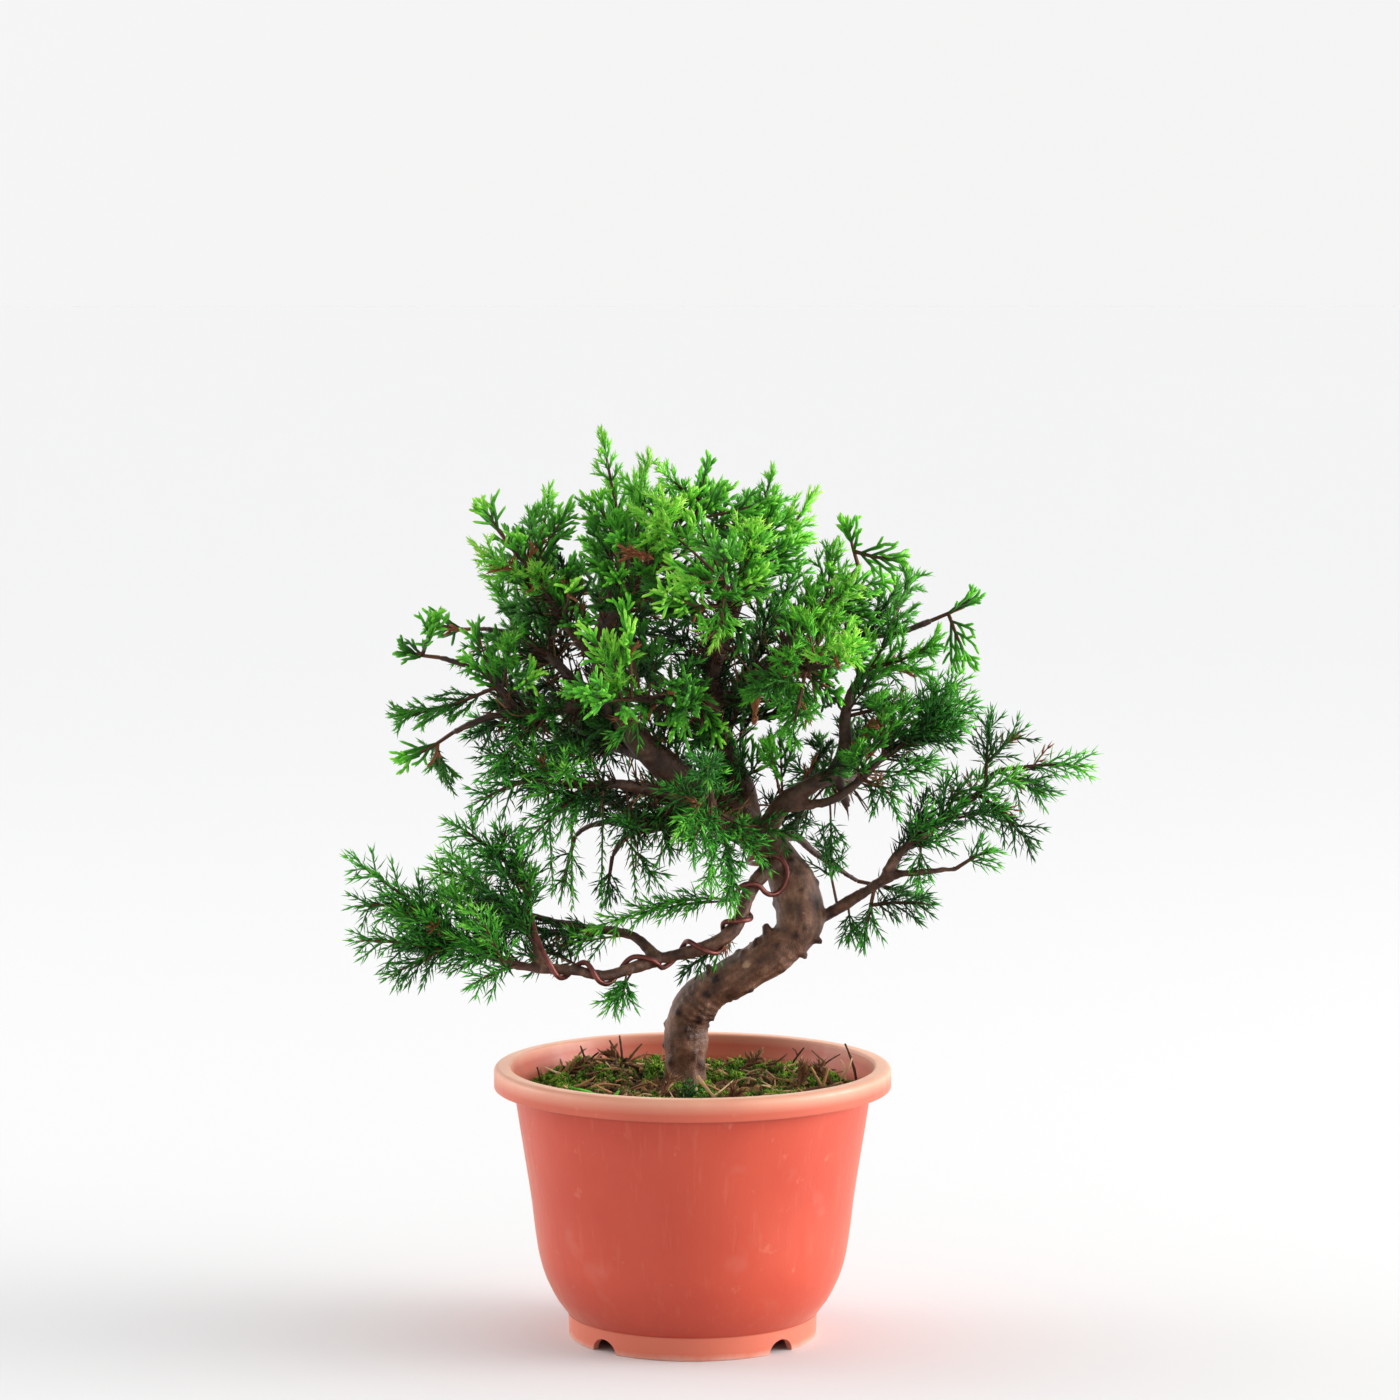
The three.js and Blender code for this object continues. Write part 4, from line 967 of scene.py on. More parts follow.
# How each kind of foliage grows: the distance between its pairs of side shoots, their lengths
# at the stem's root and tip, the least share of that, where the first pair is, how far a pair
# turns round the stem from the last and how much that varies, the shoots' lean off the stem,
# and the greatest length, as a share of the stem that is left and what is added to it
Habit = namedtuple("Habit", "gap reach least first turn spread lean left_share spare")
HABITS = {
    "scale": Habit(5.0, (16.0, 8.5), 0.7, 0.4, 48, 34, 34, 0.68, 3.4),
    "needle": Habit(6.0, (13.5, 7.5), 0.75, 0.3, 84, 15, 46, 0.7, 3.5),
}

# Scale shoots, smooth or set with pointed leaves: the radius of the shoot and of its side
# shoots, how far the age of their roots is from the shoot's root to its tip, and how much
# younger than its tip theirs are
SMOOTH_SHARE = 0.42
SMOOTH_SHOOT = (0.72, 0.66, 0.5, 0.05)
SPIKY_SHOOT = (0.5, 0.46, 0.4, 0.0)

# Leaves in threes: their length, its greatest share, its share at the shoot's tip, their lean
# off the shoot at its root and tip, how much their place round it varies, how young the leaves
# at its tip and the leaves' own tips are, and how much that varies. Ages run from 0, old and
# dark, to 1, young and bright
Leaf = namedtuple("Leaf", "length most narrow leans spread tip_youth own_youth varied")
SPIKE = Leaf(3.3, 1.2, 0.8, (42, 20), 0.25, 0.8, 0.7, (-0.03, 0.1))
NEEDLE = Leaf(6.3, 1.12, 0.72, (58, 24), 0.2, 0.7, 0.6, (-0.05, 0.08))


class Bag:
    """Shoots, pointed leaves, needles and twigs of one piece, gathered, then built together."""

    def __init__(self):
        self.shoots, self.spikes, self.needles, self.twigs = [], [], [], []

    def build(self, name, look, slot, *replaced):
        shape = Shape()
        if self.shoots:
            add_cords(shape, np.array(self.shoots))
        if self.spikes:
            add_spikes(shape, np.vstack(self.spikes))
        if self.needles:
            add_needles(shape, np.vstack(self.needles))
        if self.twigs:
            add_twigs(shape, self.twigs)
        show_by_tone(name, shape, look, slot, *replaced)


def leaf_rows(roots, headings, side, lengths, old, young, tone):
    return np.hstack([roots, headings, side, lengths[:, None], old[:, None], young[:, None],
                      np.full((len(roots), 1), tone)])


def add_leaves(shape, rows, points, faces, youth, tints):
    """Adds leaves of a few points each. youth and tints hold one number for each point."""
    old, young, tone = rows[:, 10:11], rows[:, 11:12], rows[:, 12:13]
    firsts = points.shape[1] * np.arange(len(rows))[:, None, None]
    shape.add(points, np.array(faces)[None] + firsts, (),
              mix(old, young, np.array(youth)).ravel(), (tone + np.array(tints)).ravel())


def add_cords(shape, rows):
    """Slim cords of overlapping scale leaves: each ring is turned against the last."""
    root, heading, lift = rows[:, 0:3], rows[:, 3:6], rows[:, 8:11]
    length, radius = rows[:, 6, None, None], rows[:, 7:8]
    s = CORD_STATIONS[None, :, None]
    centres = root[:, None] + length * (heading[:, None] * s + lift[:, None] * s**2)
    ages = mix(rows[:, 11:12], rows[:, 12:13], CORD_STATIONS[None] ** 1.8)
    add_tubes(shape, centres, radius * CORD_SWELL[None], 3, ages, rows[:, 13],
              twist=np.pi / 3, capped=False)


def add_spikes(shape, rows):
    """Short pointed leaves: three corners round the root, inside the shoot, and a tip."""
    root, heading, out = rows[:, 0:3], rows[:, 3:6], rows[:, 6:9]
    side = unit(np.cross(heading, out))
    back = np.cross(side, heading)
    points = np.stack([root - side * SPIKE_WIDTH, root + side * SPIKE_WIDTH,
                       root + back * 0.8 * SPIKE_WIDTH, root + heading * rows[:, 9:10]], 1)
    add_leaves(shape, rows, points, [(0, 1, 3), (1, 2, 3), (2, 0, 3)], (0, 0, 0, 1),
               (0.03, -0.03, 0, 0))


def add_needles(shape, rows):
    """Pointed needles: a root, three corners round the widest place and a tip."""
    root, heading, inward = rows[:, 0:3], rows[:, 3:6], rows[:, 6:9]
    length = rows[:, 9:10]
    side = unit(np.cross(heading, inward))
    back = np.cross(side, heading)
    middle = root + heading * length * 0.4
    points = np.stack([
        root, middle - side * NEEDLE_WIDTH + back * 0.1, middle + side * NEEDLE_WIDTH + back * 0.1,
        middle - back * NEEDLE_DEPTH, root + heading * length + inward * length * 0.14,
    ], 1)
    faces = [(0, 1, 2), (0, 2, 3), (0, 3, 1), (4, 2, 1), (4, 3, 2), (4, 1, 3)]
    add_leaves(shape, rows, points, faces, (0, 0.45, 0.45, 0.45, 1), (0, 0.03, -0.03, 0.01, 0))


def add_twigs(shape, twigs, sides=4):
    """Slim pointed axes along lines, as (line, start, radius, age, tone)."""
    stations = np.array([0, 0.4, 0.8, 1.0])
    centres = np.array([row[0].at(row[1] + (1 - row[1]) * stations) for row in twigs])
    radii, ages, tones = np.array([row[2:] for row in twigs]).T
    add_tubes(shape, centres, radii[:, None] * np.array([1, 0.85, 0.6, 0.0]), sides,
              np.repeat(ages[:, None], len(stations), 1), tones, capped=False)


def turn_about(axis, vector, angle):
    """A vector square to the axis, turned about it."""
    return math.cos(angle) * vector + math.sin(angle) * np.cross(axis, vector)


def ages_in(light):
    """A shoot's age at its root and tip: the more light it is given, the younger and brighter it
    is, so that it carries the painted light and shade of its place.
    """
    return 0.03 + 0.3 * light, 0.17 + 0.83 * light


def threes(leaf, size, along, across, run, turn, ages, random):
    """Leaves in threes along a shoot, each three turned against the last: their headings, the
    ways out there, lengths, and ages at the root and tip."""
    third = np.cross(along, across)
    n = len(run)
    for k in range(3):
        angle = turn + 2 * np.pi * k / 3 + np.arange(n) * 1.05 + random.normal(0, leaf.spread, n)
        out = np.cos(angle)[:, None] * across + np.sin(angle)[:, None] * third
        lean = np.radians(mix(*leaf.leans, run) + random.normal(0, 7, n))[:, None]
        aim = unit(np.cos(lean) * along + np.sin(lean) * out)
        lengths = size * random.uniform(0.75, leaf.most, n) * mix(1.0, leaf.narrow, run)
        inner = mix(*ages, leaf.tip_youth * run)
        outer = mix(inner, ages[1], leaf.own_youth) + random.uniform(*leaf.varied, n)
        yield aim, out, lengths, inner, np.minimum(1, outer)


def fingers_along(length, heading, lift, flat, fingers, random):
    """Where a shoot's short side shoots start, their headings and their lengths."""
    side = 1 if random.uniform() > 0.5 else -1
    for f in range(fingers):
        s = mix(0.18, 0.88, (f + random.uniform(0.3, 0.7)) / fingers)
        here = unit(heading + 2 * lift * s)
        side = -side
        lean = math.radians(random.normal(FINGER_LEAN, 6))
        aim = math.cos(lean) * here + math.sin(lean) * side * flat
        aim = unit(aim + random.normal(0, 0.08, 3))
        size = mix(0.6, 0.32, s) * length * random.uniform(0.75, 1.25)
        size = min(LONGEST_FINGER, max(SHORTEST_FINGER, size))
        yield length * (heading * s + lift * s * s), aim, size


def scale_shoot(bag, spiky, root, heading, length, lift, flat, light, tone, fingers, random):
    """A straight shoot with short side shoots: a smooth cord, or set with pointed leaves."""
    radius, side_radius, root_youth, tip_youth = SPIKY_SHOOT if spiky else SMOOTH_SHOOT
    old, young = ages_in(light)

    def add(root, heading, length, radius, lift, old, young):
        bag.shoots.append((*root, *heading, length, radius, *lift, old, young, tone))
        if spiky:
            n = max(2, round(length / SPIKE_GAP))
            s = (np.arange(n) + 0.55) / n
            roots = root + length * (heading * s[:, None] + lift * s[:, None] ** 2)
            along = unit(heading + 2 * lift * s[:, None])
            for aim, out, *sizes in threes(SPIKE, SPIKE.length, along, flat, s, 0,
                                           (old, young), random):
                bag.spikes.append(leaf_rows(roots, aim, out, *sizes, tone))

    add(root, heading, length, radius, lift, old, young)
    for off, aim, size in fingers_along(length, heading, lift, flat, fingers, random):
        add(root + off, aim, size, side_radius, 0.08 * heading, mix(old, young, root_youth),
            min(1.0, young + tip_youth))


def needle_shoot(bag, line, start, light, tone, random, size=NEEDLE.length):
    """Needles in threes along a slim shoot."""
    n = max(3, int(line.length * (1 - start) / NEEDLE_GAP))
    shares = start + (1 - start) * (np.arange(n) + 0.4) / n
    roots, along = line.at(shares), line.direction(shares)
    ages = ages_in(light)
    turn = random.uniform(0, 6)
    for aim, _, *sizes in threes(NEEDLE, size, along, perpendicular(along),
                                 np.linspace(0, 1, n), turn, ages, random):
        bag.needles.append(leaf_rows(roots, aim, along, *sizes, tone))
    bag.twigs.append((line, start, 0.42, mix(*ages, 0.3), tone))


def shoot_tone(spray_tone, outer, random):
    """A shoot's tone, near its spray's; some of the shoots near the stem's root are dry."""
    if outer < 0.4 and random.uniform() < DRY_SHARE:
        return DRY_TONE
    return float(np.clip(spray_tone + random.normal(0, 0.1), 0.05, 0.82))


def pairs_along(habit, stem, start, gap, reach, across, spray_tone, light, random):
    """A spray's side shoots, in pairs along its stem: root, the stem's way there, heading,
    length, tone and light of each."""
    pairs = max(3, round(stem.length * (1 - start) / gap))
    for n in range(pairs):
        share = start + (1 - start) * (n + habit.first) / (pairs + 0.9)
        root, along = stem.at(share), stem.direction(share)
        across = unit(across - across.dot(along) * along)
        turn = math.radians(random.normal(habit.turn, habit.spread))
        across = turn_about(along, across, turn)
        outer, left = n / pairs, stem.length * (1 - share)
        for side in (-1, 1):
            angle = math.radians(random.normal(habit.lean, 7))
            heading = math.cos(angle) * along + math.sin(angle) * side * across
            heading = unit(heading + random.normal(0, 0.08, 3))
            length = mix(*reach, outer) * random.uniform(habit.least, 1.15)
            length = min(length, habit.left_share * left + habit.spare)
            tone = shoot_tone(spray_tone, outer, random)
            length *= 0.6 if tone == DRY_TONE else 1
            yield root, along, heading, length, tone, light * mix(0.72, 1.0, outer)


def first_side(stem, start, random):
    along = stem.direction(start)
    return turn_about(along, perpendicular(along), random.uniform(0, 3))


def varied_light(light, random):
    return max(0.02, min(1.0, light + random.normal(0, 0.07)))


def scale_spray(bag, stem, start, gap, reach, light, random):
    """A feather-shaped spray of straight shoots, shorter towards the tip."""
    across = first_side(stem, start, random)
    spray_tone = random.uniform(0.2, 0.75)
    spiky = random.uniform() >= SMOOTH_SHARE
    end = stem.direction(1.0)
    scale_shoot(bag, spiky, stem.at(1.0) - end * 9, end, 10, np.zeros(3), across, light,
                spray_tone, 2, random)
    for root, along, heading, length, tone, dim in pairs_along(
            HABITS["scale"], stem, start, gap, reach, across, spray_tone, light, random):
        lift = 0.1 * along + UP * random.uniform(-0.04, 0.1)
        bright = varied_light(dim, random)
        flat = np.cross(heading, np.cross(heading, along)) + random.normal(0, 0.25, 3)
        flat = unit(flat - flat.dot(heading) * heading)
        scale_shoot(bag, spiky, root, heading, length, lift, flat, bright, tone,
                    round(length / FINGER_GAP), random)


def needle_spray(bag, stem, start, gap, reach, light, droop, random):
    """Feathery side shoots of needles along a stem."""
    across = first_side(stem, start, random)
    spray_tone = random.uniform(0.25, 0.75)
    needle_shoot(bag, stem, start, light, spray_tone, random)
    for root, along, heading, length, tone, dim in pairs_along(
            HABITS["needle"], stem, start, gap, reach, across, spray_tone, light, random):
        end = root + heading * length + along * 0.12 * length - UP * droop * length
        needle_shoot(bag, stem_line(root, end, 0.06), 0.06, varied_light(dim, random), tone,
                     random)


TRIES = 9000  # places looked at in each clump

# Where foliage is thick: kind of foliage, middle and half widths of each rounded clump, the
# distance between sprays in front and behind, and how far out from its middle they start
CLUMPS = {
    "crown_top": ("scale", (-4, -2, 304), (50, 52, 26), (12.5, 13), 0.62),
    "crown_dome": ("scale", (-5, 0, 272), (78, 76, 52), (16.5, 13), 0.62),
    "crown_core": ("needle", (-4, 22, 262), (26, 22, 22), (13, 13), 0.2),
    "right_edge": ("needle", (92, -8, 241), (16, 20, 15), (11, 12), 0.1),
    "right_inner": ("needle", (94, -6, 208), (14, 18, 16), (12, 12), 0.1),
    "left_under": ("needle", (-74, -6, 224), (15, 26, 13), (12, 13), 0.1),
    "right_shoulder": ("scale", (70, 4, 276), (11, 22, 14), (13, 12), 0.2),
    "left_low": ("needle", (-57, -6, 152), (12, 18, 8), (10, 11), 0.1),
    "crown_left": ("scale", (-55, 0, 256), (37, 44, 30), (14.5, 13), 0.6),
    "crown_right": ("scale", (49, 0, 245), (33, 50, 34), (16, 13), 0.62),
    "crown_shoulder": ("scale", (-58, -4, 299), (20, 28, 18), (13, 13), 0.5),
    "crown_skirt": ("needle", (-22, 4, 218), (54, 58, 26), (17, 12), 0.6),
    "crown_hem": ("needle", (32, -2, 207), (30, 46, 20), (17, 13), 0.6),
    "left_pad": ("needle", (-96, -8, 162), (28, 28, 17), (11.5, 11.5), 0.3),
    "left_riser": ("needle", (-71, -14, 180), (14, 20, 19), (11.5, 11.5), 0.3),
    "right_pad": ("needle", (116, -4, 209), (25, 18, 11), (14, 14), 0.3),
    "crown_front": ("scale", (-20, -42, 284), (13, 13, 12), (9.5, 9.5), 0.0),
}
CLUMP_MIDDLES = np.array([row[1] for row in CLUMPS.values()], float)
CLUMP_HALVES = np.array([row[2] for row in CLUMPS.values()], float)

# Where the wood inside the crown shows from the front: middle and half widths in X and Z,
# and how far back a spray can still hide it
WINDOWS = [
    (-50, 265, 13, 12), (-27, 214, 13, 12), (34, 207, 28, 17), (22, 236, 12, 9),
    (-50, 172, 16, 8), (-26, 176, 14, 12), (118, 224, 12, 7), (-104, 266, 14, 9),
    (-96, 247, 14, 8), (48, 322, 14, 8), (-74, 246, 12, 7), (-124, 150, 12, 12),
    (70, 206, 10, 16), (46, 228, 10, 7),
]
WINDOW_DEPTH = 25

TOP_OF_CROWN = 325  # sprays that end above this height, and on hanging twigs, are narrow
HANGING = ("low_twig", "low_back_twig")
NARROW = 0.6
DROOP_BELOW = 215  # needle sprays that end below this height droop

# Where the small sprays grow from, and the ways that the limbs run there
FILL_SHARES = {name: np.linspace(0.15, 1, 30) for name in LIMBS if name != "low_left"}
FILL_SHARES["trunk"] = np.linspace(0.62, 1, 40)
FILL_ROOTS = np.vstack([LINES[name].at(shares) for name, shares in FILL_SHARES.items()])
FILL_WAYS = np.vstack([LINES[name].direction(shares) for name, shares in FILL_SHARES.items()])
FILL_REACH = (11.0, 7.0)
TWIG_REACH = 24
LONGEST_TWIG = 62
SHORTEST_TWIG = 7

# Single sprays that show in the photograph: limb, place along it, kind, tip and sweep. The
# fishbones are single shoots of short needles
SINGLES = [
    ("low_crown", 0.75, "fishbone", (-45, -12, 164), 0.05),
    ("low_crown", 0.9, "fishbone", (-52, -16, 170), 0.05),
    ("low_crown", 0.55, "fishbone", (-34, -16, 166), 0.05),
    ("low_crown", 0.4, "fishbone", (-21, -14, 168), 0.05),
    ("low_crown", 0.2, "needle", (-8, -14, 182), 0.05),
    ("low_crown", 0.1, "needle", (2, -16, 186), 0.05),
    ("low_twig", 0.8, "needle", (-12, -10, 172), 0.05),
    ("low_left", 0.36, "needle", (-22, -24, 164), 0.12),
    ("low_left", 0.36, "needle", (-40, -22, 157), 0.1),
    ("low_left", 0.5, "needle", (7, -12, 146), -0.05),
    ("low_left", 0.62, "needle", (-4, -12, 140), -0.05),
    ("low_left_front", 0.1, "needle", (-33, -32, 128), -0.1),
    ("low_left_front", 0.14, "needle", (-26, -36, 133), -0.1),
    ("front_low", 0.8, "needle", (7, -62, 176), 0.1),
    ("front_low", 0.55, "needle", (16, -48, 172), 0.1),
    ("front_low", 0.35, "needle", (14, -34, 165), 0.1),
    ("front_low", 1.0, "needle", (6, -62, 222), 0.0),
    ("front_low", 0.9, "needle", (-6, -62, 198), 0.0),
    ("right_twig", 0.3, "needle", (52, -24, 178), 0.1),
    ("low_right", 0.5, "needle", (60, -4, 150), 0.05),
    ("low_right_up", 0.3, "needle", (84, -18, 172), 0.02),
]
SINGLE_REACH = (7.5, 5.5)
FISHBONE_NEEDLE = 5.0

# Limbs that dead twigs grow on inside the crown
INNER_TWIGS = 1300
INNER_LIMBS = ["leader2", "right_up", "left", "left_up", "low_crown", "low_twig", "front_low",
               "front_mid", "front_up", "front_right", "back_low", "back_mid", "back_right",
               "back_left", "back_up", "left_top", "crown_top"]


def depth_in(points):
    """How far out each point is in its nearest clump, from 0 in the middle to 1 at the
    outside, and which clump that is."""
    shares = (np.asarray(points)[:, None] - CLUMP_MIDDLES[None]) / CLUMP_HALVES[None]
    shares = np.linalg.norm(shares, axis=2)
    return shares.min(1), shares.argmin(1)


def painted_light_at(point):
    """How bright a spray is painted at a place: brighter at the outside, where growth is younger,
    with painted light at the top and front and painted shade at the back.
    """
    shares, clumps = depth_in([point])
    face = unit((np.asarray(point) - CLUMP_MIDDLES[clumps[0]]) / CLUMP_HALVES[clumps[0]] ** 2)
    outside = np.clip((shares[0] - 0.55) / 0.4, 0, 1)
    return 0.07 + 0.55 * outside + 0.25 * face[2] - 0.14 * face[1]


def in_window(tip):
    """Whether a tip is in front of, or inside, a place where the inner wood shows."""
    return tip[1] <= WINDOW_DEPTH and any(
        math.hypot((tip[0] - x) / half_x, (tip[2] - z) / half_z) < 1
        for x, z, half_x, half_z in WINDOWS)


def add_spray(bag, kind, stem, start, reach, random):
    """A spray of either kind; some of those in front are given more painted light."""
    tip = stem.at(1.0)
    # Painted light: some sprays in front are made brighter
    front_painted_light = 0.24 if tip[1] < -25 and random.uniform() < 0.3 else 0.0
    light = float(np.clip(painted_light_at(tip) + front_painted_light + random.normal(0, 0.13), 0.03, 1))
    gap = HABITS[kind].gap
    if kind == "scale":
        scale_spray(bag, stem, start, gap, reach, light, random)
    else:
        droop = 0.12 if tip[2] < DROOP_BELOW else 0.03
        needle_spray(bag, stem, start, gap, reach, light, droop, random)


def leaf_stems(limb, fraction, kind, tips):
    """The stems of one leafy branch: each line and the share at which its leaves start."""
    sweep = -0.1 if kind == "scale" else 0.08
    first = stem_line(LINES[limb].at(fraction), tips[0], sweep)
    bare = max(0.15, 5.5 / first.length)
    return [(first, bare),
            *((stem_line(first.at(bare + 0.08), tip, sweep), 0.06) for tip in tips[1:])]


def build_sprays(looks):
    """Each CAD leafy branch as a finer spray on the same stems."""
    bare = []
    for order, (limb, fraction, kind, tips) in enumerate(LEAFY):
        random = np.random.default_rng(100 + order)
        bag = Bag()
        for stem, start in leaf_stems(limb, fraction, kind, tips):
            narrow = NARROW if stem.at(1.0)[2] > TOP_OF_CROWN or limb in HANGING else 1.0
            reach = [narrow * length for length in HABITS[kind].reach]
            add_spray(bag, kind, stem, start, reach, random)
            bare.append((stem, 0.9, 0.3 + random.uniform(-0.2, 0.2)))
        bag.build(f"leafy_spray_{order + 1:02d}", looks[kind], f"{kind}_foliage",
                  f"leafy_branch_{order + 1:02d}")
    return bare


def spread_tips(middle, halves, gaps, inner, random, taken):
    """Tips spread evenly through the outer part of one clump."""
    middle, halves = np.array(middle), np.array(halves)
    tries = middle + halves * random.uniform(-1, 1, (TRIES, 3))
    shares, _ = depth_in(tries)
    own = np.linalg.norm((tries - middle) / halves, axis=1)
    for tip in tries[(shares > inner) & (own < 0.94)]:
        gap = gaps[0] if tip[1] < 0 else gaps[1]
        if in_window(tip):
            continue
        if not taken or np.linalg.norm(np.array(taken) - tip, axis=1).min() > gap:
            taken.append(tip)
            yield tip


def twig_to(tip, random):
    """A twig to a tip from the limb that can best reach it, or None."""
    ways = tip - FILL_ROOTS
    far = np.linalg.norm(ways, axis=1)
    forward = (ways * FILL_WAYS).sum(1) / np.maximum(far, 0.1)
    best = (np.abs(far - TWIG_REACH) + 14 * (1 - forward)).argmin()
    if far[best] > LONGEST_TWIG or far[best] < SHORTEST_TWIG:
        return None
    return stem_line(FILL_ROOTS[best], tip, random.uniform(-0.1, 0.06))


def build_fill(looks):
    """Small sprays on twigs all through the clumps."""
    bare, taken = [], []
    for number, (name, (kind, *clump)) in enumerate(CLUMPS.items()):
        random = np.random.default_rng(900 + number)
        bag = Bag()
        for tip in spread_tips(*clump, random, taken):
            twig = twig_to(tip, random)
            if twig is None:
                continue
            leafy = min(0.8 * twig.length, random.uniform(16, 23))
            add_spray(bag, kind, twig, 1 - leafy / twig.length, FILL_REACH, random)
            bare.append((twig, 0.4 + 0.008 * twig.length, random.uniform(0.0, 0.5)))
        bag.build(f"{name}_fill", looks[kind], f"{kind}_foliage")
    return bare


def build_singles(looks):
    bare = []
    random = np.random.default_rng(77)
    bag = Bag()
    for limb, fraction, kind, tip, sweep in SINGLES:
        stem = stem_line(LINES[limb].at(fraction), tip, sweep)
        if kind == "fishbone":
            needle_shoot(bag, stem, 0.2, painted_light_at(tip) + 0.1, 0.5, random, FISHBONE_NEEDLE)
        else:
            add_spray(bag, kind, stem, 0.25, SINGLE_REACH, random)
        bare.append((stem, 0.55, random.uniform(0.1, 0.5)))
    bag.build("single_sprays", looks["needle"], "needle_foliage")
    return bare


def build_bare_twigs(bare, looks):
    """The woody axes of the sprays, and the dead twigs that fill the crown's inside."""
    random = np.random.default_rng(4)
    rows = [(stem, 0.0, radius, 0.5, tone) for stem, radius, tone in bare]
    for _ in range(INNER_TWIGS):
        line = LINES[INNER_LIMBS[random.integers(len(INNER_LIMBS))]]
        share = random.uniform(0.08, 0.7)
        root, along = line.at(share), line.direction(share)
        out = turn_about(along, perpendicular(along), random.uniform(0, 6.3))
        end = root + random.uniform(6, 18) * unit(0.6 * along + out + 0.3 * random.normal(0, 1, 3))
        rows.append((stem_line(root, end, random.normal(0, 0.1)), 0.0, random.uniform(0.3, 0.55),
                     0.5, random.uniform(0, 1) ** 2.2))
    shape = Shape()
    add_twigs(shape, rows, 3)
    show_by_tone("bare_twigs", shape, looks["twig"], "bark")


# Wire

COIL_STEPS = 150
PATH_STEPS = 330
WIRE_RINGS = 300


def wire_coil():
    """The coils along the low left limb, in step with where they cross in front of it."""
    root, outer = LINES["low_left"], LINES["low_left_front"]
    limb = Line(np.vstack([root.points[:-1], outer.points]),
                np.concatenate([root.radii[:-1], outer.radii]))
    crossings = np.linspace(FIRST_TURN, LAST_TURN, len(WIRE_CROSSINGS))
    runs = np.interp(-np.array(WIRE_CROSSINGS), -limb.points[:, 0], limb.run) / limb.length
    turns = np.linspace(FIRST_TURN, LAST_TURN, COIL_STEPS)
    shares = np.interp(turns, crossings, runs)
    along = limb.direction(shares)
    flat = unit(np.cross(along, UP))
    third = np.cross(along, flat)
    angle = 2 * np.pi * turns[:, None]
    loose = 0.8 * np.maximum(0, -np.sin(angle)) ** 2
    reach = limb.radius(shares)[:, None] + WIRE_RADIUS + loose
    return limb.at(shares) + reach * (np.cos(angle) * flat + np.sin(angle) * third)


def clear_of_wood(points, rods):
    """The same points, moved out to lie on the wood where they would be inside it."""
    middles, *_, sizes = rod_samples(rods)
    for _ in range(12):
        near = nearest_rod(points, middles, sizes)
        way = points - middles[near]
        far = np.linalg.norm(way, axis=1)
        short = sizes[near] + WIRE_RADIUS + 0.05 - far
        points = points + np.maximum(0, short)[:, None] * way / far[:, None]
        points[1:-1] = 0.6 * points[1:-1] + 0.2 * (points[:-2] + points[2:])
    return points


def build_wire():
    """One length of wire, from its hook over the trunk to its free end."""
    path = np.vstack([smooth_points(WIRE_HOOK, 6), wire_coil(), smooth_points(WIRE_END, 6)])
    points = clear_of_wood(Line(path).at(np.linspace(0, 1, PATH_STEPS)), wood_rods())
    shares = np.concatenate([[0], np.linspace(0.0012, 0.9988, WIRE_RINGS), [1]])
    radii = np.full(len(shares), WIRE_RADIUS)
    radii[0], radii[-1] = WIRE_RADIUS * 0.6, 0
    shape = Shape()
    add_tubes(shape, Line(points).at(shares)[None], radii[None], 10,
              np.full((1, len(shares)), 0.5), np.full(1, 0.5))
    show("wire_coil", mesh_from("wire_coil", shape), wire_look(), "training_wire",
         "training_wire")


# Moss, soil and litter

MOSS_RINGS = 74
MOSS_AROUND = 230
CUSHION_SIZE = 7.2
MOUND = (-38, 26)  # where the moss is highest, at the back on the left
MOUND_REACH = 26
MOUND_HEIGHT = 3.6
MOSS_EDGE = 9  # how far from the pot's wall the moss starts to go down
TUFTS = 7800
CRUMBS = 800
STICKS = 300

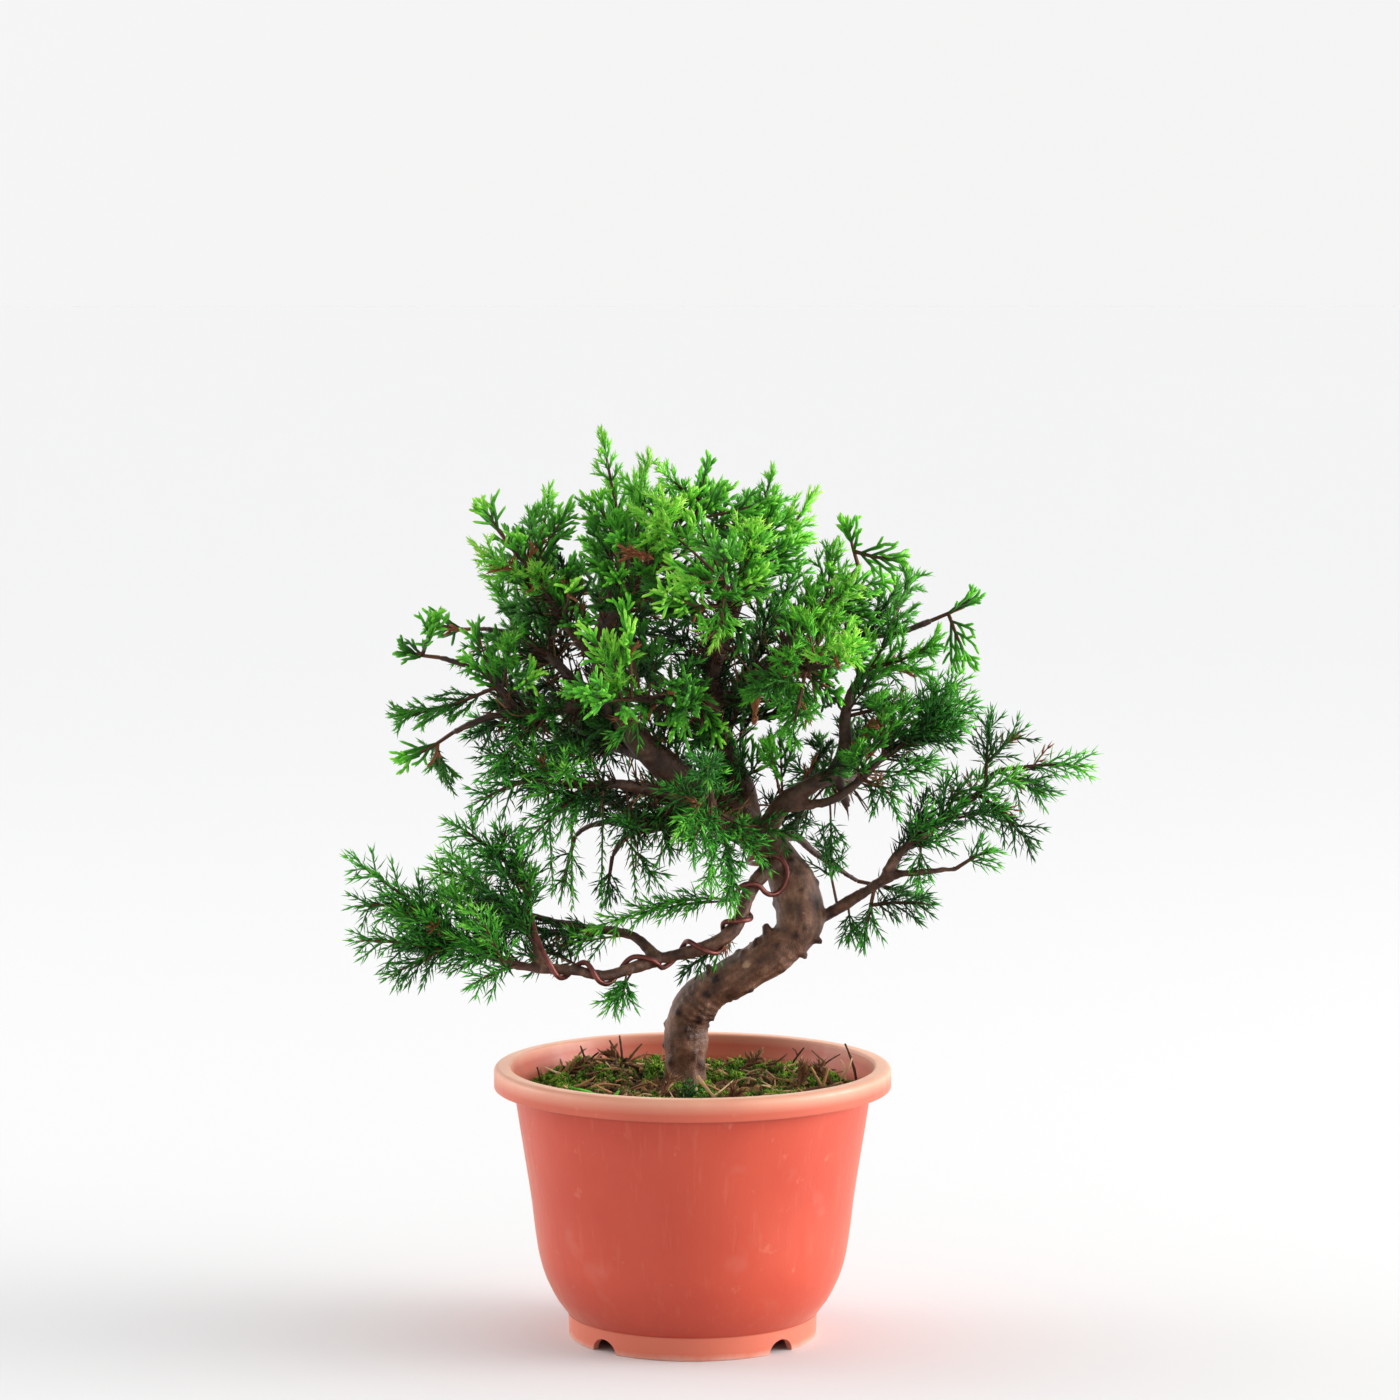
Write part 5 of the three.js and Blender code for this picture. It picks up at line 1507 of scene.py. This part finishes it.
# Twigs, roots and straws that stand up out of the litter, as points, radius and tone
RISING = [
    ([(62.5, 8, 93), (61.5, 9, 99), (60, 9, 104), (57.8, 10, 109.4)], 0.6, 0.08),
    ([(55, 5, 93), (56.5, 5, 97.5), (59, 5, 100.5), (60.5, 6, 104.5)], 0.5, 0.8),
    ([(57.6, 5, 99), (57.2, 6, 101.6), (56, 6, 103.8)], 0.35, 0.8),
    ([(36, 35, 94), (38.6, 35, 97.5), (41.6, 35, 101.6), (43, 35, 103.4)], 0.55, 0.1),
    ([(40.4, 35, 99.8), (39.8, 36, 101.6), (38.4, 36, 103)], 0.35, 0.15),
    ([(48.6, 20, 94), (50.5, 20, 99.8), (48.4, 20, 102), (45.3, 20, 105)], 0.5, 0.3),
    ([(50.5, 20, 99.6), (53, 20, 101.4), (56.5, 21, 103.2)], 0.4, 0.25),
    ([(49, -3, 94.5), (46.6, -4, 99), (44.6, -5, 103)], 0.75, 0.62),
    ([(48.8, -7, 94.5), (50, -6, 99), (51.3, -5, 103)], 0.7, 0.5),
    ([(36, -21, 94.5), (43, -20, 96.8), (50, -18, 97.4), (56.5, -15, 96.6)], 0.95, 0.25),
    ([(-12.5, -29, 94.5), (-11.4, -26, 98), (-10, -24, 101)], 0.75, 0.85),
    ([(-12, -28, 95.5), (-8.5, -24, 99), (-5.5, -21, 102.4)], 0.8, 0.7),
    ([(2, -13, 100.5), (5, -22, 98.2), (8.5, -31, 95.6)], 0.8, 0.72),
    ([(-27, 37, 96), (-29.5, 38, 101), (-32.3, 40, 105.4)], 0.7, 0.22),
    ([(-27, 37, 96), (-27.6, 39, 102), (-28.4, 42, 107)], 0.6, 0.12),
    ([(-26, 36, 96.5), (-23, 37, 100.5), (-19.5, 38, 104.4)], 0.65, 0.3),
    ([(-25, 35, 97), (-21.5, 35, 99.4), (-18, 36, 100.6)], 0.6, 0.45),
    ([(-40, 30, 96), (-41.8, 30, 101), (-43.2, 30, 105)], 0.6, 0.05),
    ([(-40, 29, 97), (-38.4, 30, 100.4), (-36, 30, 102.4)], 0.55, 0.1),
    ([(-50, 16, 96), (-47, 17, 99.6), (-43.6, 18, 103)], 0.7, 0.55),
    ([(-52, 14, 96), (-50, 16, 99), (-50.6, 18, 102)], 0.55, 0.4),
    ([(-57, 4, 93), (-58, 5, 97.6), (-59, 6, 101)], 0.55, 0.1),
    ([(-22, -30, 95), (-18, -32, 97.4), (-15, -36, 97.8)], 0.55, 0.75),
    ([(22, -34, 95), (28, -32, 97.4), (33, -33, 97)], 0.55, 0.6),
    ([(14, 2, 95), (20, -4, 98.4), (24, -6, 98)], 0.5, 0.8),
    ([(-38, -10, 96), (-33, -14, 98), (-27, -15, 97.6)], 0.5, 0.7),
]

# Green blades and the tips of the green sprig on the moss in front
BLADES = [((-37, -26, 95.5), (-47, -22, 98.6)), ((-36, -26, 96), (-44, -28, 99)),
          ((-30, -30, 95), (-27, -30, 98.6))]
SPRIG_ROOT = (-3, -27, 94.5)
SPRIG_TIPS = [(-1.3, -26, 101.5), (-6.5, -27, 99), (3, -28, 98.4), (1.2, -29, 100)]

# Dried sprays in the crown and on the moss: roots and tips
DRY_IN_CROWN = [((62, -14, 228), (70, -18, 236)), ((60, -12, 227), (72, -14, 230)),
                ((58, -10, 226), (66, -16, 224)), ((-12, -44, 296), (-24, -50, 300)),
                ((22, -30, 233), (24, -36, 246))]
DRY_ON_MOSS = [((-28, 37, 96), (-33, 38, 102)), ((-47, 18, 96), (-41, 18, 101)),
               ((20, 30, 96), (26, 30, 101)), ((40, -4, 95), (42, -2, 102)),
               ((-12, -30, 96), (-8, -27, 102)), ((52, -2, 96), (47, 0, 102)),
               ((12, -34, 96), (17, -37, 98))]


def cushion(x, y):
    """One of many small rounded cushions: how high it stands there, and its own number."""
    far, places = noise.voronoi(Vector((x / CUSHION_SIZE + 3, y / CUSHION_SIZE, 0.5)))
    return math.sqrt(max(0.0, 1 - (far[0] / 0.62) ** 2)), noise.cell(places[0] * 41)


def greenness(x, y):
    """How green the moss is, from 0 for litter and soil to 1."""
    _, own = cushion(x, y)
    broad = noise.noise(Vector((x / 21 + 5, y / 21, 7.3)))
    return 1 / (1 + math.exp(-7 * (own * 0.55 + broad * 0.8 + 0.03)))


def ground_height(x, y):
    """The moss and soil surface: cushions, lower at the pot's wall and higher on the mound."""
    edge = min(1.0, max(0.0, (MOSS_RADIUS - math.hypot(x, y)) / MOSS_EDGE))
    bulge, own = cushion(x, y)
    off_mound = (x - MOUND[0]) ** 2 + (y - MOUND[1]) ** 2
    rise = MOUND_HEIGHT * math.exp(-off_mound / MOUND_REACH**2)
    broad = noise.noise(Vector((x / 18, y / 18, 2.0)))
    return SOIL_TOP + 0.5 + edge * (0.9 + rise + 1.4 * broad + (3.1 + 1.2 * own) * bulge)


def near_trunk(x, y, reach):
    return math.hypot(x - TRUNK[0][0], y - TRUNK[0][1]) < reach


def scattered(random, reach=1.0):
    """A place on the moss, evenly spread over the pot."""
    radius = MOSS_RADIUS * reach * math.sqrt(random.uniform())
    angle = random.uniform(0, 2 * math.pi)
    return radius * math.cos(angle), radius * math.sin(angle)


def build_moss():
    """The moss carpet, with an edge that goes down to the soil."""
    turns = 2 * np.pi * np.arange(MOSS_AROUND) / MOSS_AROUND
    rows = []
    for ring in range(MOSS_RINGS + 1):
        radius = MOSS_RADIUS * max(ring, 0.02) / MOSS_RINGS
        for turn in turns:
            x, y = radius * math.cos(turn), radius * math.sin(turn)
            crumb = noise.noise(Vector((x / 1.1, y / 1.1, 0.5)))
            # The age, which sets how bright the moss and litter are, rises with each cushion's
            # height: painted shade in the hollows between cushions
            rows.append((x, y, ground_height(x, y) + 0.6 * crumb,
                         0.04 + 0.56 * cushion(x, y)[0] + 0.5 * crumb,
                         greenness(x, y) + 0.25 * crumb))
    rows += [(MOSS_RADIUS * math.cos(turn), MOSS_RADIUS * math.sin(turn), SOIL_TOP, 0.1, 0.2)
             for turn in turns]
    rows = np.array(rows)
    k = np.arange(MOSS_AROUND)
    after = (k + 1) % MOSS_AROUND
    firsts = MOSS_AROUND * np.arange(MOSS_RINGS + 1)[:, None, None]
    quad = np.stack([k, MOSS_AROUND + k, MOSS_AROUND + after, after], 1)
    shape = Shape()
    shape.add(rows[:, :3], (), quad[None] + firsts, rows[:, 3].clip(0, 1), rows[:, 4].clip(0, 1))
    show_by_tone("moss_carpet", shape, moss_look(), "moss", "moss")


def build_moss_tufts():
    """Tiny pointed moss shoots on the cushions."""
    random = np.random.default_rng(21)
    rows = []
    while len(rows) < TUFTS:
        x, y = scattered(random)
        green = greenness(x, y)
        if random.uniform() > green or near_trunk(x, y, 9):
            continue
        rows.append((x, y, ground_height(x, y) - 0.2, cushion(x, y)[0]))
    rows = np.array(rows)
    bulge = rows[:, 3:4]
    lean = unit(random.normal(0, 0.5, (TUFTS, 3)) + UP)
    length = (1.0 + 1.0 * bulge) * random.uniform(0.7, 1.3, (TUFTS, 1))
    stations = np.array([0, 0.5, 1.0])[None, :, None]
    centres = rows[:, None, :3] + lean[:, None] * length[:, None] * stations
    radii = np.array([0.42, 0.36, 0.0])[None] * random.uniform(0.8, 1.4, (TUFTS, 1))
    # Tufts are brighter on higher cushions: painted shade in the hollows between cushions
    bright = np.clip(0.88 * bulge + random.normal(0, 0.14, (TUFTS, 1)), 0.02, 0.95)
    ages = (bright * np.array([0.3, 0.7, 1.05])).clip(0, 1)
    shape = Shape()
    add_tubes(shape, centres, radii, 3, ages, np.full(TUFTS, 0.85), capped=False)
    show_by_tone("moss_tufts", shape, moss_look(), "moss")


def add_crumbs(shape, random):
    """Crumbs of bark and grit where the moss isn't green."""
    crumbs = []
    while len(crumbs) < CRUMBS:
        x, y = scattered(random, 0.985)
        if random.uniform() > greenness(x, y) * 0.8 and not near_trunk(x, y, 10):
            crumbs.append((x, y, ground_height(x, y) + random.uniform(-0.2, 0.6)))
    aim = unit(random.normal(0, 1, (CRUMBS, 3)) * [1, 1, 0.5])
    size = random.uniform(0.9, 3.0, (CRUMBS, 1))
    stations = np.array([-0.5, -0.2, 0.25, 0.5])[None, :, None]
    centres = np.array(crumbs)[:, None] + aim[:, None] * size[:, None] * stations
    radii = size * np.array([0.2, 0.4, 0.36, 0.0])[None] * random.uniform(0.7, 1.2, (CRUMBS, 4))
    add_tubes(shape, centres, radii, 4, np.full((CRUMBS, 4), 0.5),
              random.uniform(0, 0.7, CRUMBS) ** 1.5)


def add_sticks(shape, random):
    """Dry needles and twig ends lying on the moss, inside the pot's wall."""
    sticks = []
    while len(sticks) < STICKS:
        x, y = scattered(random, 0.93)
        if near_trunk(x, y, 11):
            continue
        turn, length = random.uniform(0, 6.3), random.uniform(3, 10)
        root = np.array([x, y, ground_height(x, y) + random.uniform(0, 1.2)])
        end = root + length * np.array([math.cos(turn), math.sin(turn),
                                        random.uniform(-0.05, 0.55)])
        reach = math.hypot(end[0], end[1])
        if reach > MOSS_RADIUS - 1:
            end[:2] *= (MOSS_RADIUS - 1) / reach
        end[2] = max(end[2], ground_height(*end[:2]) + 0.3)
        sticks.append((stem_line(root, end, random.normal(0, 0.12)), 0, random.uniform(0.25, 0.6),
                       0.5, random.uniform(0.05, 0.95)))
    add_twigs(shape, sticks, 5)


def build_litter(looks):
    random = np.random.default_rng(33)
    shape = Shape()
    add_crumbs(shape, random)
    add_sticks(shape, random)
    show_by_tone("dry_litter", shape, looks["litter"], "potting_soil")


def build_rising(looks):
    shape = Shape()
    shares = np.concatenate([np.linspace(0, 0.97, 14), [1]])
    for points, radius, tone in RISING:
        radii = radius * np.append(mix(1.0, 0.6, shares[:-1]), 0)
        wobble = 1 + 0.14 * np.sin(shares * 21 + points[0][0])
        add_tubes(shape, Line(smooth_points(points, 8)).at(shares)[None], (radii * wobble)[None],
                  7, np.full((1, len(shares)), 0.5), np.full(1, tone))
    show_by_tone("rising_twigs", shape, looks["litter"], "potting_soil")


def dried(own, tone):
    """The tone of a dry leaf: the given one, or a little off it among the litter."""
    return own * 0 + tone if tone > 0.9 else tone + 0.25 * (own - 0.5)


def build_sprigs(looks):
    """The green sprig and blades in front of the trunk, and dry sprigs."""
    random = np.random.default_rng(55)
    bag = Bag()
    for end in SPRIG_TIPS:
        needle_shoot(bag, stem_line(SPRIG_ROOT, end, 0.05), 0.1, 0.3, 0.3, random, 3.8)
    for root, end in BLADES:
        bag.twigs.append((stem_line(root, end, 0.06), 0, 0.8, 0.6, 0.6))
    bag.build("green_sprig", looks["needle"], "needle_foliage")
    for name, places, look, slot, tone in (
            ("dry_crown_sprigs", DRY_IN_CROWN, looks["scale"], "scale_foliage", 0.98),
            ("dry_moss_sprigs", DRY_ON_MOSS, looks["litter"], "potting_soil", 0.3)):
        bag = Bag()
        for root, end in places:
            scale_spray(bag, stem_line(root, end, 0.05), 0.1, 3.6, (4.6, 3.2), 0.5, random)
        bag.shoots = [(*row[:-1], dried(row[-1], tone)) for row in bag.shoots]
        for rows in bag.spikes:
            rows[:, -1] = dried(rows[:, -1], tone)
        bag.build(name, look, slot)


# Floor, light and camera

FLOOR_HALF = 60.0  # metres
FLOOR_COLOUR = (0.775, 0.778, 0.781, 1)

# The studio's light: how bright it is in front and behind, its soft windows, as (direction,
# strength, how narrow), and its lamps, as (place, size, power, colour)
FRONT_LEVEL = 0.42
BACK_LEVEL = 0.912
STUDIO_WHITE = (1.0, 0.998, 0.996, 1)
SOFT_WINDOWS = [((1, -0.06, 0.14), 6.6, 8.0), ((-1, 0.24, 0.2), 2.2, 6.0), ((0, 0, 1), 0.2, 2.0)]
LAMPS = {
    "window": ((2.0, -0.12, 0.42), 0.9, 20, (1.0, 0.985, 0.96)),
    "edge": ((-1.9, 0.4, 0.4), 0.7, 5, (1, 1, 1)),
}
LAMP_AIM = Vector((0, 0, 0.18))

# The camera was fitted to the pot's rim and foot: its place in millimetres from the pot's
# axis, how far it looks down, and its focal length on a 36 mm sensor
CAMERA_PLACE = (2.8, -1663, 399)
CAMERA_TILT = 5.42
CAMERA_LENS = 114.6


def placed(name, data):
    made = bpy.data.objects.new(name, data)
    bpy.context.scene.collection.objects.link(made)
    return made


def build_stage():
    mesh = bpy.data.meshes.new("studio_floor")
    corners = [(x * FLOOR_HALF, y * FLOOR_HALF, 0)
               for x, y in ((-1, -1), (1, -1), (1, 1), (-1, 1))]
    mesh.from_pydata(corners, [], [(0, 1, 2, 3)])
    look = Look("pale_floor", 0.8, Specular_IOR_Level=0.0, Base_Color=FLOOR_COLOUR)
    mesh.materials.append(look.material)
    placed("studio_floor", mesh)


def build_world():
    """A white studio with a wide window on the right and a weaker one on the left."""
    world = bpy.data.worlds.new("studio")
    world.use_nodes = True
    nodes = Nodes(world.node_tree)
    way = nodes.node("ShaderNodeTexCoord").outputs["Generated"]
    total = nodes.span(nodes.axis(way, "Y"), -0.3, 0.5, FRONT_LEVEL, BACK_LEVEL)
    for direction, strength, narrow in SOFT_WINDOWS:
        facing = nodes.between("DOT_PRODUCT", way, tuple(unit(np.array(direction))))
        lobe = nodes.math("POWER", nodes.math("MAXIMUM", facing, 0.0), narrow)
        total = nodes.math("ADD", total, nodes.product(lobe, strength))
    background = world.node_tree.nodes["Background"]
    nodes.feed(total, background.inputs["Strength"])
    nodes.feed(STUDIO_WHITE, background.inputs["Color"])
    bpy.context.scene.world = world


def build_lights():
    for name, (place, size, power, colour) in LAMPS.items():
        data = bpy.data.lights.new(name, "AREA")
        data.size, data.energy, data.color = size, power, colour
        light = placed(name, data)
        light.location = place
        light.rotation_euler = (LAMP_AIM - Vector(place)).to_track_quat("-Z", "Y").to_euler()


def build_camera():
    data = bpy.data.cameras.new("camera")
    data.sensor_width, data.lens = 36, CAMERA_LENS
    data.clip_start, data.clip_end = 0.05, 120
    camera = placed("camera", data)
    camera.location = np.array(CAMERA_PLACE) * MM + POT_AXIS
    camera.rotation_euler = (math.radians(90 - CAMERA_TILT), 0, 0)
    bpy.context.scene.camera = camera


def build_all():
    build_stage()
    build_world()
    build_lights()
    build_camera()
    looks = make_looks()
    build_pot()
    soil = frame["nodes"]["soil"]
    soil.data.materials.clear()
    soil.data.materials.append(soil_look())
    build_wood()
    build_wire()
    build_moss()
    build_moss_tufts()
    build_litter(looks)
    build_rising(looks)
    bare = build_sprays(looks) + build_fill(looks) + build_singles(looks)
    build_bare_twigs(bare, looks)
    build_sprigs(looks)


build_all()
bpy.context.scene.view_settings.view_transform = "Standard"
